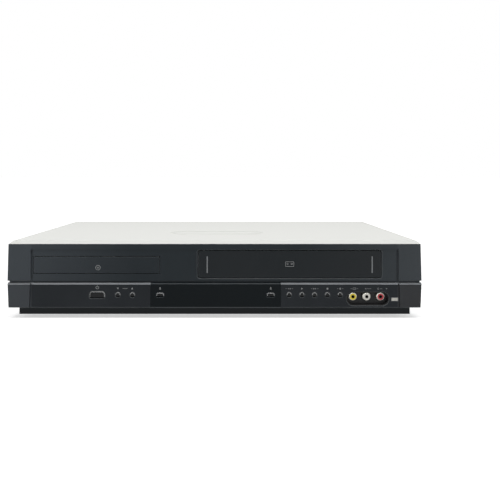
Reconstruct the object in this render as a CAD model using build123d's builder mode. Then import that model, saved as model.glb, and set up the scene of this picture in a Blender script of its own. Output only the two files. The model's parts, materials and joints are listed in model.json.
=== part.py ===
from build123d import *
import math
import os

os.makedirs("parts", exist_ok=True)

# A slim disc and cassette combination player. Millimetres, +Z up, the front faces -Y.
# The origin is on the ground below the middle of the case.

# Case
case_width = 430.0
case_depth = 265.0
case_height = 80.0
nominal_width = 430.0
nominal_depth = 265.0
foot_height = 5.0
sheet = 0.8
wall = 2.0
rear_socket_proud = 7.0

# Clearances
seam = 0.3
move_gap = 0.5
run_fit = 0.05

pan_flange = 12.0
pan_step = 6.0
vent_pitch = 8.0
screw_height = 18.0
rear_screw_z = 68.0
rear_screw_inset = 10.0
side_screw_front = 52.5
side_screw_back = 30.5
vent_length = 30.0
vent_width = 3.0
rear_vent_length = 20.0
rear_vent_place = (-100.0, 58.0)

# Top cover
cover_side_inset = 1.25
cover_bend = 3.0
bevel_rise = 2.9
bevel_run = 9.0
cover_lip_inset = 1.2
oval_length = 110.0
oval_width = 34.0
oval_groove = 3.0
oval_depth = 0.3
oval_offset = 90.0

# Front fascia
fascia_depth = 16.0
fascia_taper = 1.0
waist_height = 37.9
waist_gap = 2.0
panel_bottom = 11.0
panel_thickness = 3.0
plinth_side_inset = 12.0
plinth_inset = 2.0
plinth_bevel = 0.9
plinth_drop = 0.8
edge_round = 1.0
left_cap_width = 26.8
right_cap_width = 26.5
centre_top = 71.5
centre_depth = 0.6
groove_width = 2.4
groove_depth = 1.6
trim_height = 1.8
trim_slope = 1.4
panel_inset = 0.1
panel_groove_width = 1.6
panel_groove_shift = 0.9
panel_groove_depth = 1.2
groove_lean = 0.8
opening_bevel = 1.1

# Display window and display
window_span = (-66.3, 68.7)
window_thickness = 2.2
window_bevel = 1.5
display_middle = 23.5
display_width = 70.0
display_height = 20.0
display_depth = 6.0

# Front buttons
button_height = 24.6
button_travel = 0.8
button_flange = 1.0
button_recess = 0.1
button_gap = 0.25
button_bevel = 0.5
button_chamfer = 0.8
button_foot_radius = 0.9
stem_radius = 1.3
round_radius = 2.6
power_place = -121.7
power_width = 16.0
power_tall = 7.0
eject_width = 8.0
eject_tall = 4.2
program_places = (-100.3, -85.2)
disc_eject_place = -56.4
tape_eject_place = 58.3
deck_button_first = 77.5
deck_button_pitch = 13.2
switch_side = 6.0
switch_height = 3.5
switch_plunger = 1.4
board_thickness = 1.6
front_board_margin = 9.0

# Front phono sockets
jack_row_place = 157.9
jack_pitch = 14.3
jack_height = 22.5
jack_radius = 4.1
jack_bore = 1.65
jack_length = 12.0
jack_bore_depth = 9.0
jack_inset = 0.3
jack_recess_width = 44.3
jack_recess_height = 14.3
jack_recess_shift = 1.0
jack_recess_middle = 20.4
jack_recess_wall = 0.6
jack_flange = 1.2
jack_mouth_bevel = 0.6
jack_recess_depth = 6.0
jack_bezel_floor = 1.5

# Disc tray
tray_place = -122.5
tray_door_width = 130.8
tray_door_height = 17.2
tray_door_middle = 55.35
tray_door_thickness = 2.4
rod_front_offset = 20.0
rod_back_inset = 8.0
upper_guide_inset = 30.0
traverse_nose = 18.0
tray_width = 129.0
tray_length_nominal = 169.0
rack_lift = 0.25
tray_thickness = 4.5
tray_hold = 35.0
tray_corner = 4.0
tray_back_gap = 5.5
finger_radius = 14.0
finger_offset = 12.0
slot_corner = 2.5
disc_radius = 60.0
small_disc_radius = 40.0
disc_offset = 73.4
rack_inset = 12.5
rack_depth = 4.0
gear_module = 1.0
tooth_share = 0.42
disc_recess = 2.2
slot_radius = 16.5
axle_radius = 1.5
shelf_thickness = 2.5
pulley_groove = 1.0
pulley_height = 5.5
belt_gap = 0.15
belt_thickness = 0.8
motor_shaft_radius = 1.0
pinion_teeth = 20
pinion_depth = 12.5
pulley_radius = 8.0
motor_pulley_radius = 3.0
motor_offset = 26.0
motor_radius = 10.0
motor_height = 17.0

# Loader frame and traverse
loader_wall = 3.0
loader_floor = 22.0
loader_floor_thickness = 2.0
loader_top_inset = 4.0
traverse_half_width = 45.0
traverse_height = 36.0
traverse_thickness = 2.0
traverse_pivot_inset = 15.0
traverse_pivot_radius = 2.0
turntable_radius = 14.0
turntable_gap = 1.3
turntable_plate = 2.5
hub_radius = 7.4
spindle_motor_radius = 9.0
spindle_motor_drop = 6.0
spindle_radius = 1.5
sled_start = 27.0
sled_length = 22.0
sled_half_width = 29.0
lens_radius = 4.0
lens_height = 2.8
window_half_width = 34.0
rod_spacing = 48.0
rod_radius = 1.5
bridge_thickness = 2.0
bridge_half_depth = 19.0
puck_gap = 1.2
puck_flange = 2.2
puck_neck_radius = 10.0
puck_flange_radius = 13.0

# Cassette opening and flap
cassette_width = 188.0
cassette_thickness = 25.0
cassette_clearance = 0.4
deck_place = 78.0
flap_width = 189.6
flap_height = 27.6
flap_bottom = 42.4
flap_thickness = 2.0
flap_gap = 0.5
flap_corner = 2.0
flap_pivot_depth = 4.4
flap_pivot_height = 72.4
flap_pin_radius = 1.0
flap_ear_radius = 1.5
flap_ear_width = 3.0
guide_strip_inset = 9.2
guide_strip_width = 1.2
guide_strip_height = 17.2
guide_strip_drop = 0.6
ear_inset = 1.0
strip_inset = 0.6
strip_proud = 0.3

# Tape deck
deck_floor = 20.0
deck_plate = 1.5
deck_front_gap = 16.5
deck_back_gap = 7.5
deck_wall_top = 72.0
deck_wall = 1.5
carrier_front_gap = 4.0
carrier_pin_inset = 11.0
carrier_pin_height = 14.0
carrier_length = 57.0
carrier_plate = 1.2
carrier_ledge = 8.0
carrier_floor = 42.0
carrier_stop_gap = 5.0
carrier_drop = 18.0
slider_plate = 1.5
rail_height = 63.0
rail_lug = 2.4
carrier_pin_radius = 1.9
drum_back_gap = 34.0
drum_radius = 31.0
drum_base_height = 14.5
drum_height = 13.5
drum_shaft_radius = 3.0
reel_spacing = 92.0
reel_set_back = 14.0
reel_radius = 15.0
reel_table = 3.5
reel_hub_radius = 5.0
reel_hub_height = 12.0
reel_pin_radius = 2.0
capstan_offset_x = 52.0
capstan_offset_y = 32.0
capstan_bearing_radius = 3.2
capstan_bearing_height = 3.0
capstan_radius = 1.5
capstan_height = 28.0
flywheel_radius = 20.0
flywheel_thickness = 3.6
pinch_arm_reach = 23.5
pinch_offset_x = 28.0
pinch_offset_y = 14.0
pinch_roller_radius = 6.0
pinch_roller_height = 18.0
post_spacing = 84.0
post_offset_y = 33.0
post_travel = 38.0
post_radius = 3.0
post_height = 24.0
post_foot = 8.0
arm_pin_radius = 2.0
cam_offset_x = 70.0
cam_offset_y = 12.0
cam_radius = 12.0

# Boards, sockets and feet
main_board_wide = 112.0
main_board_narrow = 76.0
main_board_offset = 15.5
main_board_inset = 72.5
main_board_notch_gap = 7.0
board_edge = 4.0
chip_height = 1.6
chips = ((28.0, 40.0, 20.0, 20.0), (10.0, 70.0, 12.0, 14.0), (48.0, 80.0, 12.0, 20.0))
small_capacitor_radius = 3.0
small_capacitor_height = 8.0
small_capacitor_pitch = 12.0
small_capacitor_inset = (8.0, 18.0)
board_height = 12.0
standoff_radius = 2.5
power_board_width = 52.0
power_board_side_gap = 8.0
power_board_front_gap = 5.0
power_board_back_gap = 21.5
power_standoff = 8.0
capacitor_radius = 6.0
capacitor_height = 22.0
capacitor_inset = (10.0, 24.0)
capacitor_back_inset = 7.5
sink_side_inset = 4.0
sink_width = 10.0
sink_height = 26.0
sink_back_inset = 14.0
fin_pitch = 7.0
fin_gap = 4.0
sink_web = 2.0
transformer_width = 28.0
transformer_depth = 26.0
transformer_height = 24.0
transformer_side_inset = 6.0
scart_place = -108.0
scart_pitch = 52.0
scart_width = 47.0
scart_height = 15.0
scart_middle = 24.0
scart_depth = 18.0
scart_wall = 1.5
scart_mouth = 12.0
scart_tongue = 2.4
scart_tongue_width = 36.0
output_jack_gap = 47.0
output_block_depth = 14.0
output_jack_pitch = 13.0
tuner_side_inset = 20.0
tuner_width = 28.0
tuner_depth = 50.0
tuner_high = 52.0
aerial_radius = 4.8
aerial_bore = 3.4
aerial_bore_depth = 10.0
inlet_side_inset = 25.0
inlet_proud = 1.5
inlet_body = 14.0
inlet_lip = 1.2
inlet_pin_radius = 1.1
inlet_width = 20.0
inlet_height = 12.0
inlet_middle = 24.0
inlet_depth = 11.0
inlet_pin_pitch = 8.6
foot_radius = 13.0
foot_pad_radius = 10.0
foot_pad_height = 1.5
foot_side_inset = 50.0
foot_end_inset = 40.5
foot_chamfer = 0.8
screw_radius = 1.5
screw_head_radius = 3.2
screw_head = 0.9

# Places that follow from the sizes
front = -case_depth / 2
back = case_depth / 2 - rear_socket_proud
fascia_back = front + fascia_depth
fascia_top = case_height - bevel_rise
half_width = case_width / 2
spread = case_width / nominal_width
stretch = case_depth / nominal_depth
plinth_half_width = half_width - plinth_side_inset
centre_left = left_cap_width - half_width
centre_right = half_width - right_cap_width
window_left = window_span[0] * spread
window_right = window_span[1] * spread
tray_x = tray_place * spread
deck_x = deck_place * spread
cover_half = half_width - cover_side_inset
inner_half = cover_half - sheet - seam
pan_top = foot_height + sheet
cover_inside = case_height - sheet
ledge_top = foot_height + pan_step
cover_bottom = ledge_top - sheet + seam
panel_top = waist_height - waist_gap / 2
upper_bottom = waist_height + waist_gap / 2
trim_bottom = panel_top - trim_height
panel_back = front + panel_thickness
inner_front = panel_back + wall
bezel_back = front + jack_recess_depth + jack_bezel_floor
centre_face = front + centre_depth
panel_front = front + panel_inset
plinth_bottom = foot_height - plinth_drop
window_middle = (window_left + window_right) / 2
flange_front = inner_front + 0.1
flange_back = flange_front + 1.2
stem_end = flange_back + 1.3
plunger_tip = stem_end + button_travel + 0.1
board_front = plunger_tip + switch_plunger + switch_height
panel_grooves = (
    (centre_left - groove_width - panel_groove_shift, -1),
    (centre_right + groove_width + panel_groove_shift, 1),
)
opening_half = flap_width / 2 + flap_gap
opening_low = flap_bottom - flap_gap
opening_high = flap_bottom + flap_height + flap_gap
flap_pivot_y = centre_face + flap_pivot_depth
tray_front = centre_face + tray_door_thickness
tray_length = tray_length_nominal * stretch
tray_back = tray_front + tray_length
tray_travel = tray_length - tray_hold
tray_bottom = tray_door_middle - tray_door_height / 2 + rack_lift + rack_depth
tray_top = tray_bottom + tray_thickness
disc_y = centre_face + disc_offset
pinion_y = fascia_back + pinion_depth
loader_back = tray_back + tray_back_gap
traverse_pivot_y = loader_back - traverse_pivot_inset
turntable_top = tray_bottom - turntable_gap
pinion_radius = gear_module * pinion_teeth / 2
rack_x = tray_x - tray_width / 2 + rack_inset
pinion_x = rack_x + pinion_radius
motor_x = pinion_x + motor_offset
tray_half = tray_width / 2
loader_half = tray_half + move_gap
loader_top = tray_door_middle + tray_door_height / 2 - loader_top_inset
loader_front = fascia_back + 2 * move_gap
drive_shelf = tray_bottom - rack_depth - pulley_height
carrier_inner = cassette_width / 2 + cassette_clearance
carrier_half = carrier_inner + carrier_plate
slider_half = carrier_half + 0.4
slider_outer = slider_half + slider_plate
deck_half = slider_outer + move_gap
deck_front = fascia_back + deck_front_gap
deck_back = back - deck_back_gap
drum_y = deck_back - drum_back_gap
post_start_y = drum_y - post_offset_y
carrier_front = deck_front + carrier_front_gap
carrier_back = carrier_front + carrier_length
carrier_travel = post_start_y - carrier_stop_gap - carrier_back
reel_y = carrier_front + carrier_travel - reel_set_back
cam_place = (deck_x - cam_offset_x, drum_y - cam_offset_y)
carrier_low = carrier_floor - carrier_plate
carrier_high = carrier_floor + cassette_thickness + 2 * cassette_clearance + carrier_plate
deck_top = deck_floor + deck_plate
drum_base_top = deck_top + drum_base_height
drum_top = drum_base_top + seam + drum_height
lug_inner = flap_width / 2 - ear_inset + move_gap
loader_floor_top = loader_floor + loader_floor_thickness
traverse_pivot_z = traverse_height + traverse_thickness / 2
rod_z = traverse_height + 5.0
rods_y = (disc_y + rod_front_offset, traverse_pivot_y - rod_back_inset)
strip_x = [deck_x + side * (flap_width / 2 - guide_strip_inset) for side in (-1, 1)]
deck_wall_back = carrier_back + carrier_travel + 6
slider_low = carrier_low - carrier_drop + 1
slider_rod_z = deck_wall_top + 2.5
pin_y = (carrier_front + carrier_pin_inset, carrier_back - carrier_pin_inset)
pin_z = carrier_low + carrier_pin_height
reel_x = (deck_x - reel_spacing / 2, deck_x + reel_spacing / 2)
post_x = (deck_x - post_spacing / 2, deck_x + post_spacing / 2)
track_y = (post_start_y - 4, post_start_y + post_travel + 4)
flywheel_z = (deck_floor - 0.6 - flywheel_thickness, deck_floor - 0.6)
bearing = (deck_x + capstan_offset_x, drum_y - capstan_offset_y)
pinch_pivot_x = bearing[0] + pinch_offset_x
pinch_pivot_y = bearing[1] + pinch_offset_y
roller_x = pinch_pivot_x - pinch_arm_reach
side_screw_y = (front + side_screw_front, back - side_screw_back)
rear_screw_x = (rear_screw_inset - half_width, 0.0, half_width - rear_screw_inset)
foot_x = half_width - foot_side_inset
foot_y = case_depth / 2 - foot_end_inset
scart_x = (scart_place * spread, scart_place * spread + scart_pitch)
output_jack_x = scart_x[0] - output_jack_gap
tuner_x = half_width - tuner_side_inset
inlet_x = inlet_side_inset - half_width
main_board_left = tray_x - main_board_offset
main_board_right = main_board_left + main_board_wide
main_board_middle = main_board_left + main_board_narrow
main_board_front = front + main_board_inset
main_board_notch = loader_back + main_board_notch_gap
power_board_left = power_board_side_gap - half_width
power_board_right = power_board_left + power_board_width
power_board_front = loader_back + power_board_front_gap
power_board_back = back - power_board_back_gap
aerial_places = (25.0, 41.0)
output_places = [
    (output_jack_x + output_jack_pitch * column, scart_middle + output_jack_pitch * row)
    for column in (-0.5, 0.5)
    for row in (-0.5, 0.5)
]
standoffs = [
    (main_board_left + board_edge, main_board_front + board_edge),
    (main_board_left + board_edge, deck_back - board_edge),
    (main_board_right - board_edge, deck_back - board_edge),
    (power_board_left + power_standoff, power_board_front + board_edge),
    (power_board_right - board_edge, power_board_back - board_edge),
]
round_width = 2 * round_radius
buttons = {
    "power_button": (power_place * spread, power_width, power_tall),
    "program_down_button": (program_places[0] * spread, round_width, round_width),
    "program_up_button": (program_places[1] * spread, round_width, round_width),
    "disc_eject_button": (disc_eject_place * spread, eject_width, eject_tall),
    "tape_eject_button": (tape_eject_place * spread, eject_width, eject_tall),
}
deck_buttons = ("rewind_button", "play_button", "forward_button", "stop_button", "record_button")
for place, name in enumerate(deck_buttons):
    x = (deck_button_first + place * deck_button_pitch) * spread
    buttons[name] = (x, round_width, round_width)
jack_row_x = jack_row_place * spread
jack_recess_centre = (jack_row_x + jack_recess_shift, jack_recess_middle)
jack_x = {
    "video_jack": jack_row_x - jack_pitch,
    "left_audio_jack": jack_row_x,
    "right_audio_jack": jack_row_x + jack_pitch,
}


def block(x, y, z, mode=Mode.ADD):
    """A box between the low and the high limit on each axis."""
    with Locations(((x[0] + x[1]) / 2, (y[0] + y[1]) / 2, (z[0] + z[1]) / 2)):
        Box(x[1] - x[0], y[1] - y[0], z[1] - z[0], mode=mode)


def upright(x, y, z, radius, mode=Mode.ADD):
    """A vertical cylinder between the limits z."""
    with Locations((x, y, (z[0] + z[1]) / 2)):
        Cylinder(radius, z[1] - z[0], mode=mode)


def along_y(x, y, z, radius, mode=Mode.ADD):
    """A cylinder that runs front to back between the limits y."""
    with Locations((x, (y[0] + y[1]) / 2, z)):
        Cylinder(radius, y[1] - y[0], rotation=(90, 0, 0), mode=mode)


def along_x(x, y, z, radius, mode=Mode.ADD):
    """A cylinder that runs left to right between the limits x."""
    with Locations(((x[0] + x[1]) / 2, y, z)):
        Cylinder(radius, x[1] - x[0], rotation=(0, 90, 0), mode=mode)


def facing(y):
    """The plane that faces the viewer at depth y, with X to the right and Z up."""
    return Plane.XZ.offset(-y)


def outline(low, high, bottom, top):
    """A fascia outline, whose half width changes from low at the bottom to high at the top."""
    Polygon((-low, bottom), (low, bottom), (high, top), (-high, top), align=None)


# ---------------------------------------------------------------- case
def cover_form(half, low, high, bend):
    """The cover's block: open to the front under a long bevel, with bent shoulders."""
    with BuildPart() as form:
        block((-half, half), (front + cover_lip_inset, back), (low, high))
        top_edges = form.edges().filter_by(Axis.X).group_by(Axis.Z)[-1]
        front_face = form.faces().sort_by(Axis.Y)[0]
        chamfer(top_edges.sort_by(Axis.Y)[0], bevel_rise, bevel_run, reference=front_face)
        shoulders = form.edges().filter_by(Axis.Y).group_by(Axis.Z)[-1]
        fillet(shoulders, bend)
    return form.part


cover_core = cover_form(cover_half - sheet, foot_height, case_height - sheet, cover_bend - sheet)
with BuildPart() as top_cover:
    add(cover_form(cover_half, cover_bottom, case_height, cover_bend))
    add(cover_core, mode=Mode.SUBTRACT)
    block(
        (-half_width, half_width),
        (front, fascia_back + seam),
        (foot_height, fascia_top - sheet),
        Mode.SUBTRACT,
    )
    for y in side_screw_y:
        along_x((-case_width, case_width), y, screw_height, screw_radius + run_fit, Mode.SUBTRACT)
    # A shallow plain oval pressed into the top.
    with BuildSketch(Plane.XY.offset(case_height)):
        with Locations((0, front + oval_offset)):
            SlotOverall(oval_length, oval_width)
            SlotOverall(oval_length - 2 * oval_groove, oval_width - 2 * oval_groove, mode=Mode.SUBTRACT)
    extrude(amount=-oval_depth, mode=Mode.SUBTRACT)
top_cover.part.label = "top_cover"
export_step(top_cover.part, "parts/top_cover.step")

with BuildPart() as bottom_pan:
    pan_y = (fascia_back + seam, back - sheet - seam)
    block((-plinth_half_width, plinth_half_width), pan_y, (foot_height, pan_top))
    riser_x = (plinth_half_width - sheet, plinth_half_width)
    block(riser_x, pan_y, (foot_height, ledge_top))
    block((riser_x[0], inner_half), pan_y, (ledge_top - sheet, ledge_top))
    block((inner_half - sheet, inner_half), pan_y, (ledge_top - sheet, ledge_top + pan_flange))
    mirror(about=Plane.YZ)
    block((-plinth_half_width, plinth_half_width), (pan_y[0], pan_y[0] + sheet), (pan_top, 2 * pan_top))
    with BuildSketch(Plane.XY.offset(foot_height)):
        with Locations((deck_x, reel_y), (tray_x, disc_y)):
            with GridLocations(vent_pitch, 0, 9, 1):
                SlotOverall(vent_length, vent_width, rotation=90)
    extrude(amount=sheet, mode=Mode.SUBTRACT)
    for x, y in standoffs:
        upright(x, y, (pan_top, board_height), standoff_radius)
    for x in (-foot_x, foot_x):
        for y in (-foot_y, foot_y):
            upright(x, y, (foot_height, pan_top), screw_radius + run_fit, Mode.SUBTRACT)
    for y in side_screw_y:
        along_x((-case_width, case_width), y, screw_height, screw_radius + run_fit, Mode.SUBTRACT)
bottom_pan.part.label = "bottom_pan"
export_step(bottom_pan.part, "parts/bottom_pan.step")

with BuildPart() as rear_panel:
    block((-inner_half, inner_half), (back - sheet, back), (ledge_top, cover_inside - seam))
    block((-plinth_half_width, plinth_half_width), (back - sheet, back), (foot_height, ledge_top))
    fillet(rear_panel.edges().filter_by(Axis.Y).group_by(Axis.Z)[-1], cover_bend)
    for x in scart_x:
        cut = scart_width / 2 + seam
        tall = scart_height / 2 + seam
        scart_z = (scart_middle - tall, scart_middle + tall)
        block((x - cut, x + cut), (back - sheet, back), scart_z, Mode.SUBTRACT)
    for x, z in output_places:
        along_y(x, (back - sheet, back), z, jack_radius + seam, Mode.SUBTRACT)
    for z in aerial_places:
        along_y(tuner_x, (back - sheet, back), z, aerial_radius + seam, Mode.SUBTRACT)
    cut = inlet_width / 2 + seam
    tall = inlet_height / 2 + seam
    block(
        (inlet_x - cut, inlet_x + cut),
        (back - sheet, back),
        (inlet_middle - tall, inlet_middle + tall),
        Mode.SUBTRACT,
    )
    with BuildSketch(facing(back)):
        with Locations(rear_vent_place):
            with GridLocations(vent_pitch, 0, 12, 1):
                SlotOverall(rear_vent_length, vent_width, rotation=90)
    extrude(amount=sheet, mode=Mode.SUBTRACT)
    for x in rear_screw_x:
        along_y(x, (back - sheet, back), rear_screw_z, screw_radius + run_fit, Mode.SUBTRACT)
rear_panel.part.label = "rear_panel"
export_step(rear_panel.part, "parts/rear_panel.step")

with BuildPart() as case_feet:
    for x in (-foot_x, foot_x):
        for y in (-foot_y, foot_y):
            upright(x, y, (foot_pad_height, foot_height), foot_radius)
            upright(x, y, (foot_height, pan_top + 1.0), screw_radius)
    chamfer(case_feet.edges().filter_by(GeomType.CIRCLE).group_by(Axis.Z)[0], foot_chamfer)
case_feet.part.label = "case_feet"
export_step(case_feet.part, "parts/case_feet.step")

with BuildPart() as foot_pads:
    for x in (-foot_x, foot_x):
        for y in (-foot_y, foot_y):
            upright(x, y, (0, foot_pad_height), foot_pad_radius)
foot_pads.part.label = "foot_pads"
export_step(foot_pads.part, "parts/foot_pads.step")

with BuildPart() as case_screws:
    for y in side_screw_y:
        along_x((cover_half, cover_half + screw_head), y, screw_height, screw_head_radius)
        along_x((inner_half - 3, cover_half), y, screw_height, screw_radius)
    mirror(about=Plane.YZ)
    for x in rear_screw_x:
        along_y(x, (back, back + screw_head), rear_screw_z, screw_head_radius)
        along_y(x, (back - 4, back), rear_screw_z, screw_radius)
case_screws.part.label = "case_screws"
export_step(case_screws.part, "parts/case_screws.step")


# ---------------------------------------------------------------- fascia
def button_face(width, tall, grow):
    """A button's outline: round where it is as wide as it is tall, else arched along the top."""
    if width == tall:
        Circle(width / 2 + grow)
    else:
        half = tall / 2 + grow
        with Locations((0, -half)):
            RectangleRounded(width + 2 * grow, 4 * half, 0.45 * tall + grow)
        with Locations((0, half)):
            RectangleRounded(width + 2 * grow, 4 * half, button_foot_radius + grow, mode=Mode.INTERSECT)


def cut_button_holes(y, depth, grow, taper=0):
    """Holes for all the buttons, cut backwards from y."""
    for x, width, tall in buttons.values():
        with BuildSketch(facing(y)) as hole:
            with Locations((x, button_height)):
                button_face(width, tall, grow)
        extrude(hole.sketch, amount=-depth, taper=taper, mode=Mode.SUBTRACT)


with BuildPart() as front_fascia:
    with BuildSketch(facing(front)):
        outline(half_width, half_width - fascia_taper, upper_bottom, fascia_top)
    extrude(amount=-fascia_depth)
    fillet(front_fascia.faces().sort_by(Axis.Y)[0].edges().sort_by(Axis.Z)[:-1], edge_round)
    body_half = half_width - fascia_taper - seam
    block((-body_half, body_half), (panel_back, fascia_back), (panel_bottom, upper_bottom))
    plinth_front = front + plinth_inset
    block(
        (-plinth_half_width, plinth_half_width),
        (plinth_front, fascia_back),
        (plinth_bottom, panel_bottom),
    )
    plinth_edges = front_fascia.edges().filter_by(Axis.X).filter_by_position(
        Axis.Y, plinth_front - run_fit, plinth_front + run_fit
    )
    chamfer(plinth_edges.sort_by(Axis.Z)[-1], plinth_bevel)
    # The hollow behind the upper face, behind the lower panel and inside the plinth.
    cavity_half = body_half - wall
    cavity_top = fascia_top - sheet - seam - wall
    block(
        (-cavity_half, cavity_half),
        (centre_face + wall, fascia_back),
        (upper_bottom + wall, cavity_top),
        Mode.SUBTRACT,
    )
    block(
        (-cavity_half, cavity_half),
        (inner_front, fascia_back),
        (panel_bottom + wall, upper_bottom),
        Mode.SUBTRACT,
    )
    block(
        (wall - plinth_half_width, plinth_half_width - wall),
        (inner_front, fascia_back),
        (plinth_bottom + wall, panel_bottom),
        Mode.SUBTRACT,
    )
    # The rebate that takes the cover's front lip.
    block(
        (-half_width, half_width),
        (front + cover_lip_inset - seam, fascia_back),
        (fascia_top - sheet - seam, fascia_top),
        Mode.SUBTRACT,
    )
    # The middle lies a little deeper than the end caps, with a groove along each cap.
    block((centre_left, centre_right), (front, centre_face), (upper_bottom, centre_top), Mode.SUBTRACT)
    for low in (centre_left - groove_width, centre_right):
        block(
            (low, low + groove_width),
            (front, front + groove_depth),
            (upper_bottom, centre_top),
            Mode.SUBTRACT,
        )
    # The cassette opening and the tray opening, each with a bevel round it.
    with BuildSketch(facing(centre_face)):
        with Locations((deck_x, (opening_low + opening_high) / 2)):
            RectangleRounded(2 * opening_half, opening_high - opening_low, flap_corner)
    extrude(amount=-wall, mode=Mode.SUBTRACT)
    with BuildSketch(facing(centre_face)):
        with Locations((deck_x, (opening_low + opening_high) / 2)):
            RectangleRounded(
                2 * (opening_half + opening_bevel),
                opening_high - opening_low + 2 * opening_bevel,
                flap_corner + opening_bevel,
            )
    extrude(amount=-opening_bevel, taper=45, mode=Mode.SUBTRACT)
    with BuildSketch(facing(centre_face)):
        with Locations((tray_x, tray_door_middle)):
            RectangleRounded(tray_door_width + 2 * move_gap, tray_door_height + 2 * move_gap, 1.0)
    extrude(amount=-wall, mode=Mode.SUBTRACT)
    # The lugs that carry the flap's pins.
    for side in (-1, 1):
        near = deck_x + side * lug_inner
        far = deck_x + side * (lug_inner + flap_ear_width)
        lug_x = (min(near, far), max(near, far))
        block(lug_x, (centre_face + wall, flap_pivot_y + 2.2), (opening_high + 0.2, cavity_top))
        along_x(lug_x, flap_pivot_y, flap_pivot_height, flap_pin_radius + run_fit, Mode.SUBTRACT)
    # Openings behind the lower panel.
    cut_button_holes(panel_back, wall, 2 * button_gap)
    with BuildSketch(facing(panel_back)):
        with Locations(jack_recess_centre):
            SlotOverall(jack_recess_width + 2 * seam, jack_recess_height + 2 * seam)
        with Locations((window_middle, display_middle)):
            Rectangle(display_width, display_height)
    extrude(amount=-(bezel_back + seam - panel_back), mode=Mode.SUBTRACT)
front_fascia.part.label = "front_fascia"
export_step(front_fascia.part, "parts/front_fascia.step")

with BuildPart() as lower_panel:
    with BuildSketch(facing(panel_front)):
        outline(half_width - fascia_taper, half_width, panel_bottom, trim_bottom)
    extrude(amount=-(panel_back - panel_front))
    fillet(lower_panel.faces().sort_by(Axis.Y)[0].edges().sort_by(Axis.Z)[:-1], edge_round)
    block(
        (window_left - seam / 2, window_right + seam / 2),
        (panel_front, panel_front + window_thickness),
        (panel_bottom, trim_bottom),
        Mode.SUBTRACT,
    )
    for outer, side in panel_grooves:
        inner = outer - side * panel_groove_width
        lean = side * groove_lean
        with BuildSketch(facing(panel_front)):
            with BuildLine():
                Polyline(
                    (outer, trim_bottom),
                    (inner, trim_bottom),
                    (inner + lean, panel_bottom),
                    (outer + lean, panel_bottom),
                    close=True,
                )
            make_face()
        extrude(amount=-panel_groove_depth, mode=Mode.SUBTRACT)
    cut_button_holes(panel_front, panel_thickness, button_gap)
    cut_button_holes(panel_front, button_bevel, button_gap + button_bevel, 45)
    with BuildSketch(facing(panel_front)):
        with Locations(jack_recess_centre):
            SlotOverall(jack_recess_width, jack_recess_height)
    extrude(amount=-panel_thickness, mode=Mode.SUBTRACT)
    with BuildSketch(facing(panel_front)):
        with Locations(jack_recess_centre):
            SlotOverall(jack_recess_width + 2 * button_bevel, jack_recess_height + 2 * button_bevel)
    extrude(amount=-button_bevel, taper=45, mode=Mode.SUBTRACT)
    with BuildSketch(facing(panel_front)):
        with Locations((window_middle, display_middle)):
            Rectangle(display_width, display_height)
    extrude(amount=-panel_thickness, mode=Mode.SUBTRACT)
lower_panel.part.label = "lower_panel"
export_step(lower_panel.part, "parts/lower_panel.step")

with BuildPart() as bevel_trim:
    with BuildSketch(Plane.YZ):
        with BuildLine():
            Polyline(
                (panel_front, trim_bottom),
                (panel_back, trim_bottom),
                (panel_back, panel_top),
                (panel_front + trim_slope, panel_top),
                close=True,
            )
        make_face()
    extrude(amount=half_width - seam / 2, both=True)
    block(
        (window_left - seam / 2, window_right + seam / 2),
        (panel_front, panel_back),
        (trim_bottom, panel_top),
        Mode.SUBTRACT,
    )
    for outer, side in panel_grooves:
        inner = outer - side * panel_groove_width
        groove_x = (min(outer, inner), max(outer, inner))
        groove_y = (panel_front, panel_front + groove_depth)
        block(groove_x, groove_y, (trim_bottom, panel_top), Mode.SUBTRACT)
bevel_trim.part.label = "bevel_trim"
export_step(bevel_trim.part, "parts/bevel_trim.step")

with BuildPart() as display_window:
    block((window_left, window_right), (panel_front, panel_front + window_thickness), (panel_bottom, panel_top))
    upper_edge = display_window.edges().filter_by(Axis.X).group_by(Axis.Z)[-1].sort_by(Axis.Y)[0]
    chamfer(upper_edge, window_bevel)
    cut_button_holes(panel_front, window_thickness, button_gap)
    cut_button_holes(panel_front, button_bevel, button_gap + button_bevel, 45)
display_window.part.label = "display_window"
export_step(display_window.part, "parts/display_window.step")

for name, (x, width, tall) in buttons.items():
    with BuildPart() as button:
        with BuildSketch(facing(front + button_recess)):
            with Locations((x, button_height)):
                button_face(width, tall, 0)
        extrude(amount=-(flange_front - front - button_recess))
        chamfer(button.faces().sort_by(Axis.Y)[0].edges(), button_chamfer)
        with BuildSketch(facing(flange_front)):
            with Locations((x, button_height)):
                button_face(width, tall, button_flange)
        extrude(amount=-(flange_back - flange_front))
        along_y(x, (flange_back, stem_end), button_height, stem_radius)
    button.part.label = name
    export_step(button.part, f"parts/{name}.step")

with BuildPart() as jack_bezel:
    with BuildSketch(facing(front + button_bevel)):
        with Locations(jack_recess_centre):
            SlotOverall(jack_recess_width - seam, jack_recess_height - seam)
    extrude(amount=-(bezel_back - front - button_bevel))
    with BuildSketch(facing(front + button_bevel)):
        with Locations(jack_recess_centre):
            inner_width = jack_recess_width - seam - 2 * jack_recess_wall
            inner_height = jack_recess_height - seam - 2 * jack_recess_wall
            SlotOverall(inner_width, inner_height)
    extrude(amount=-(jack_recess_depth - button_bevel), mode=Mode.SUBTRACT)
    for x in jack_x.values():
        along_y(x, (front, bezel_back), jack_height, jack_radius + seam / 2, Mode.SUBTRACT)
jack_bezel.part.label = "jack_bezel"
export_step(jack_bezel.part, "parts/jack_bezel.step")

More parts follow.
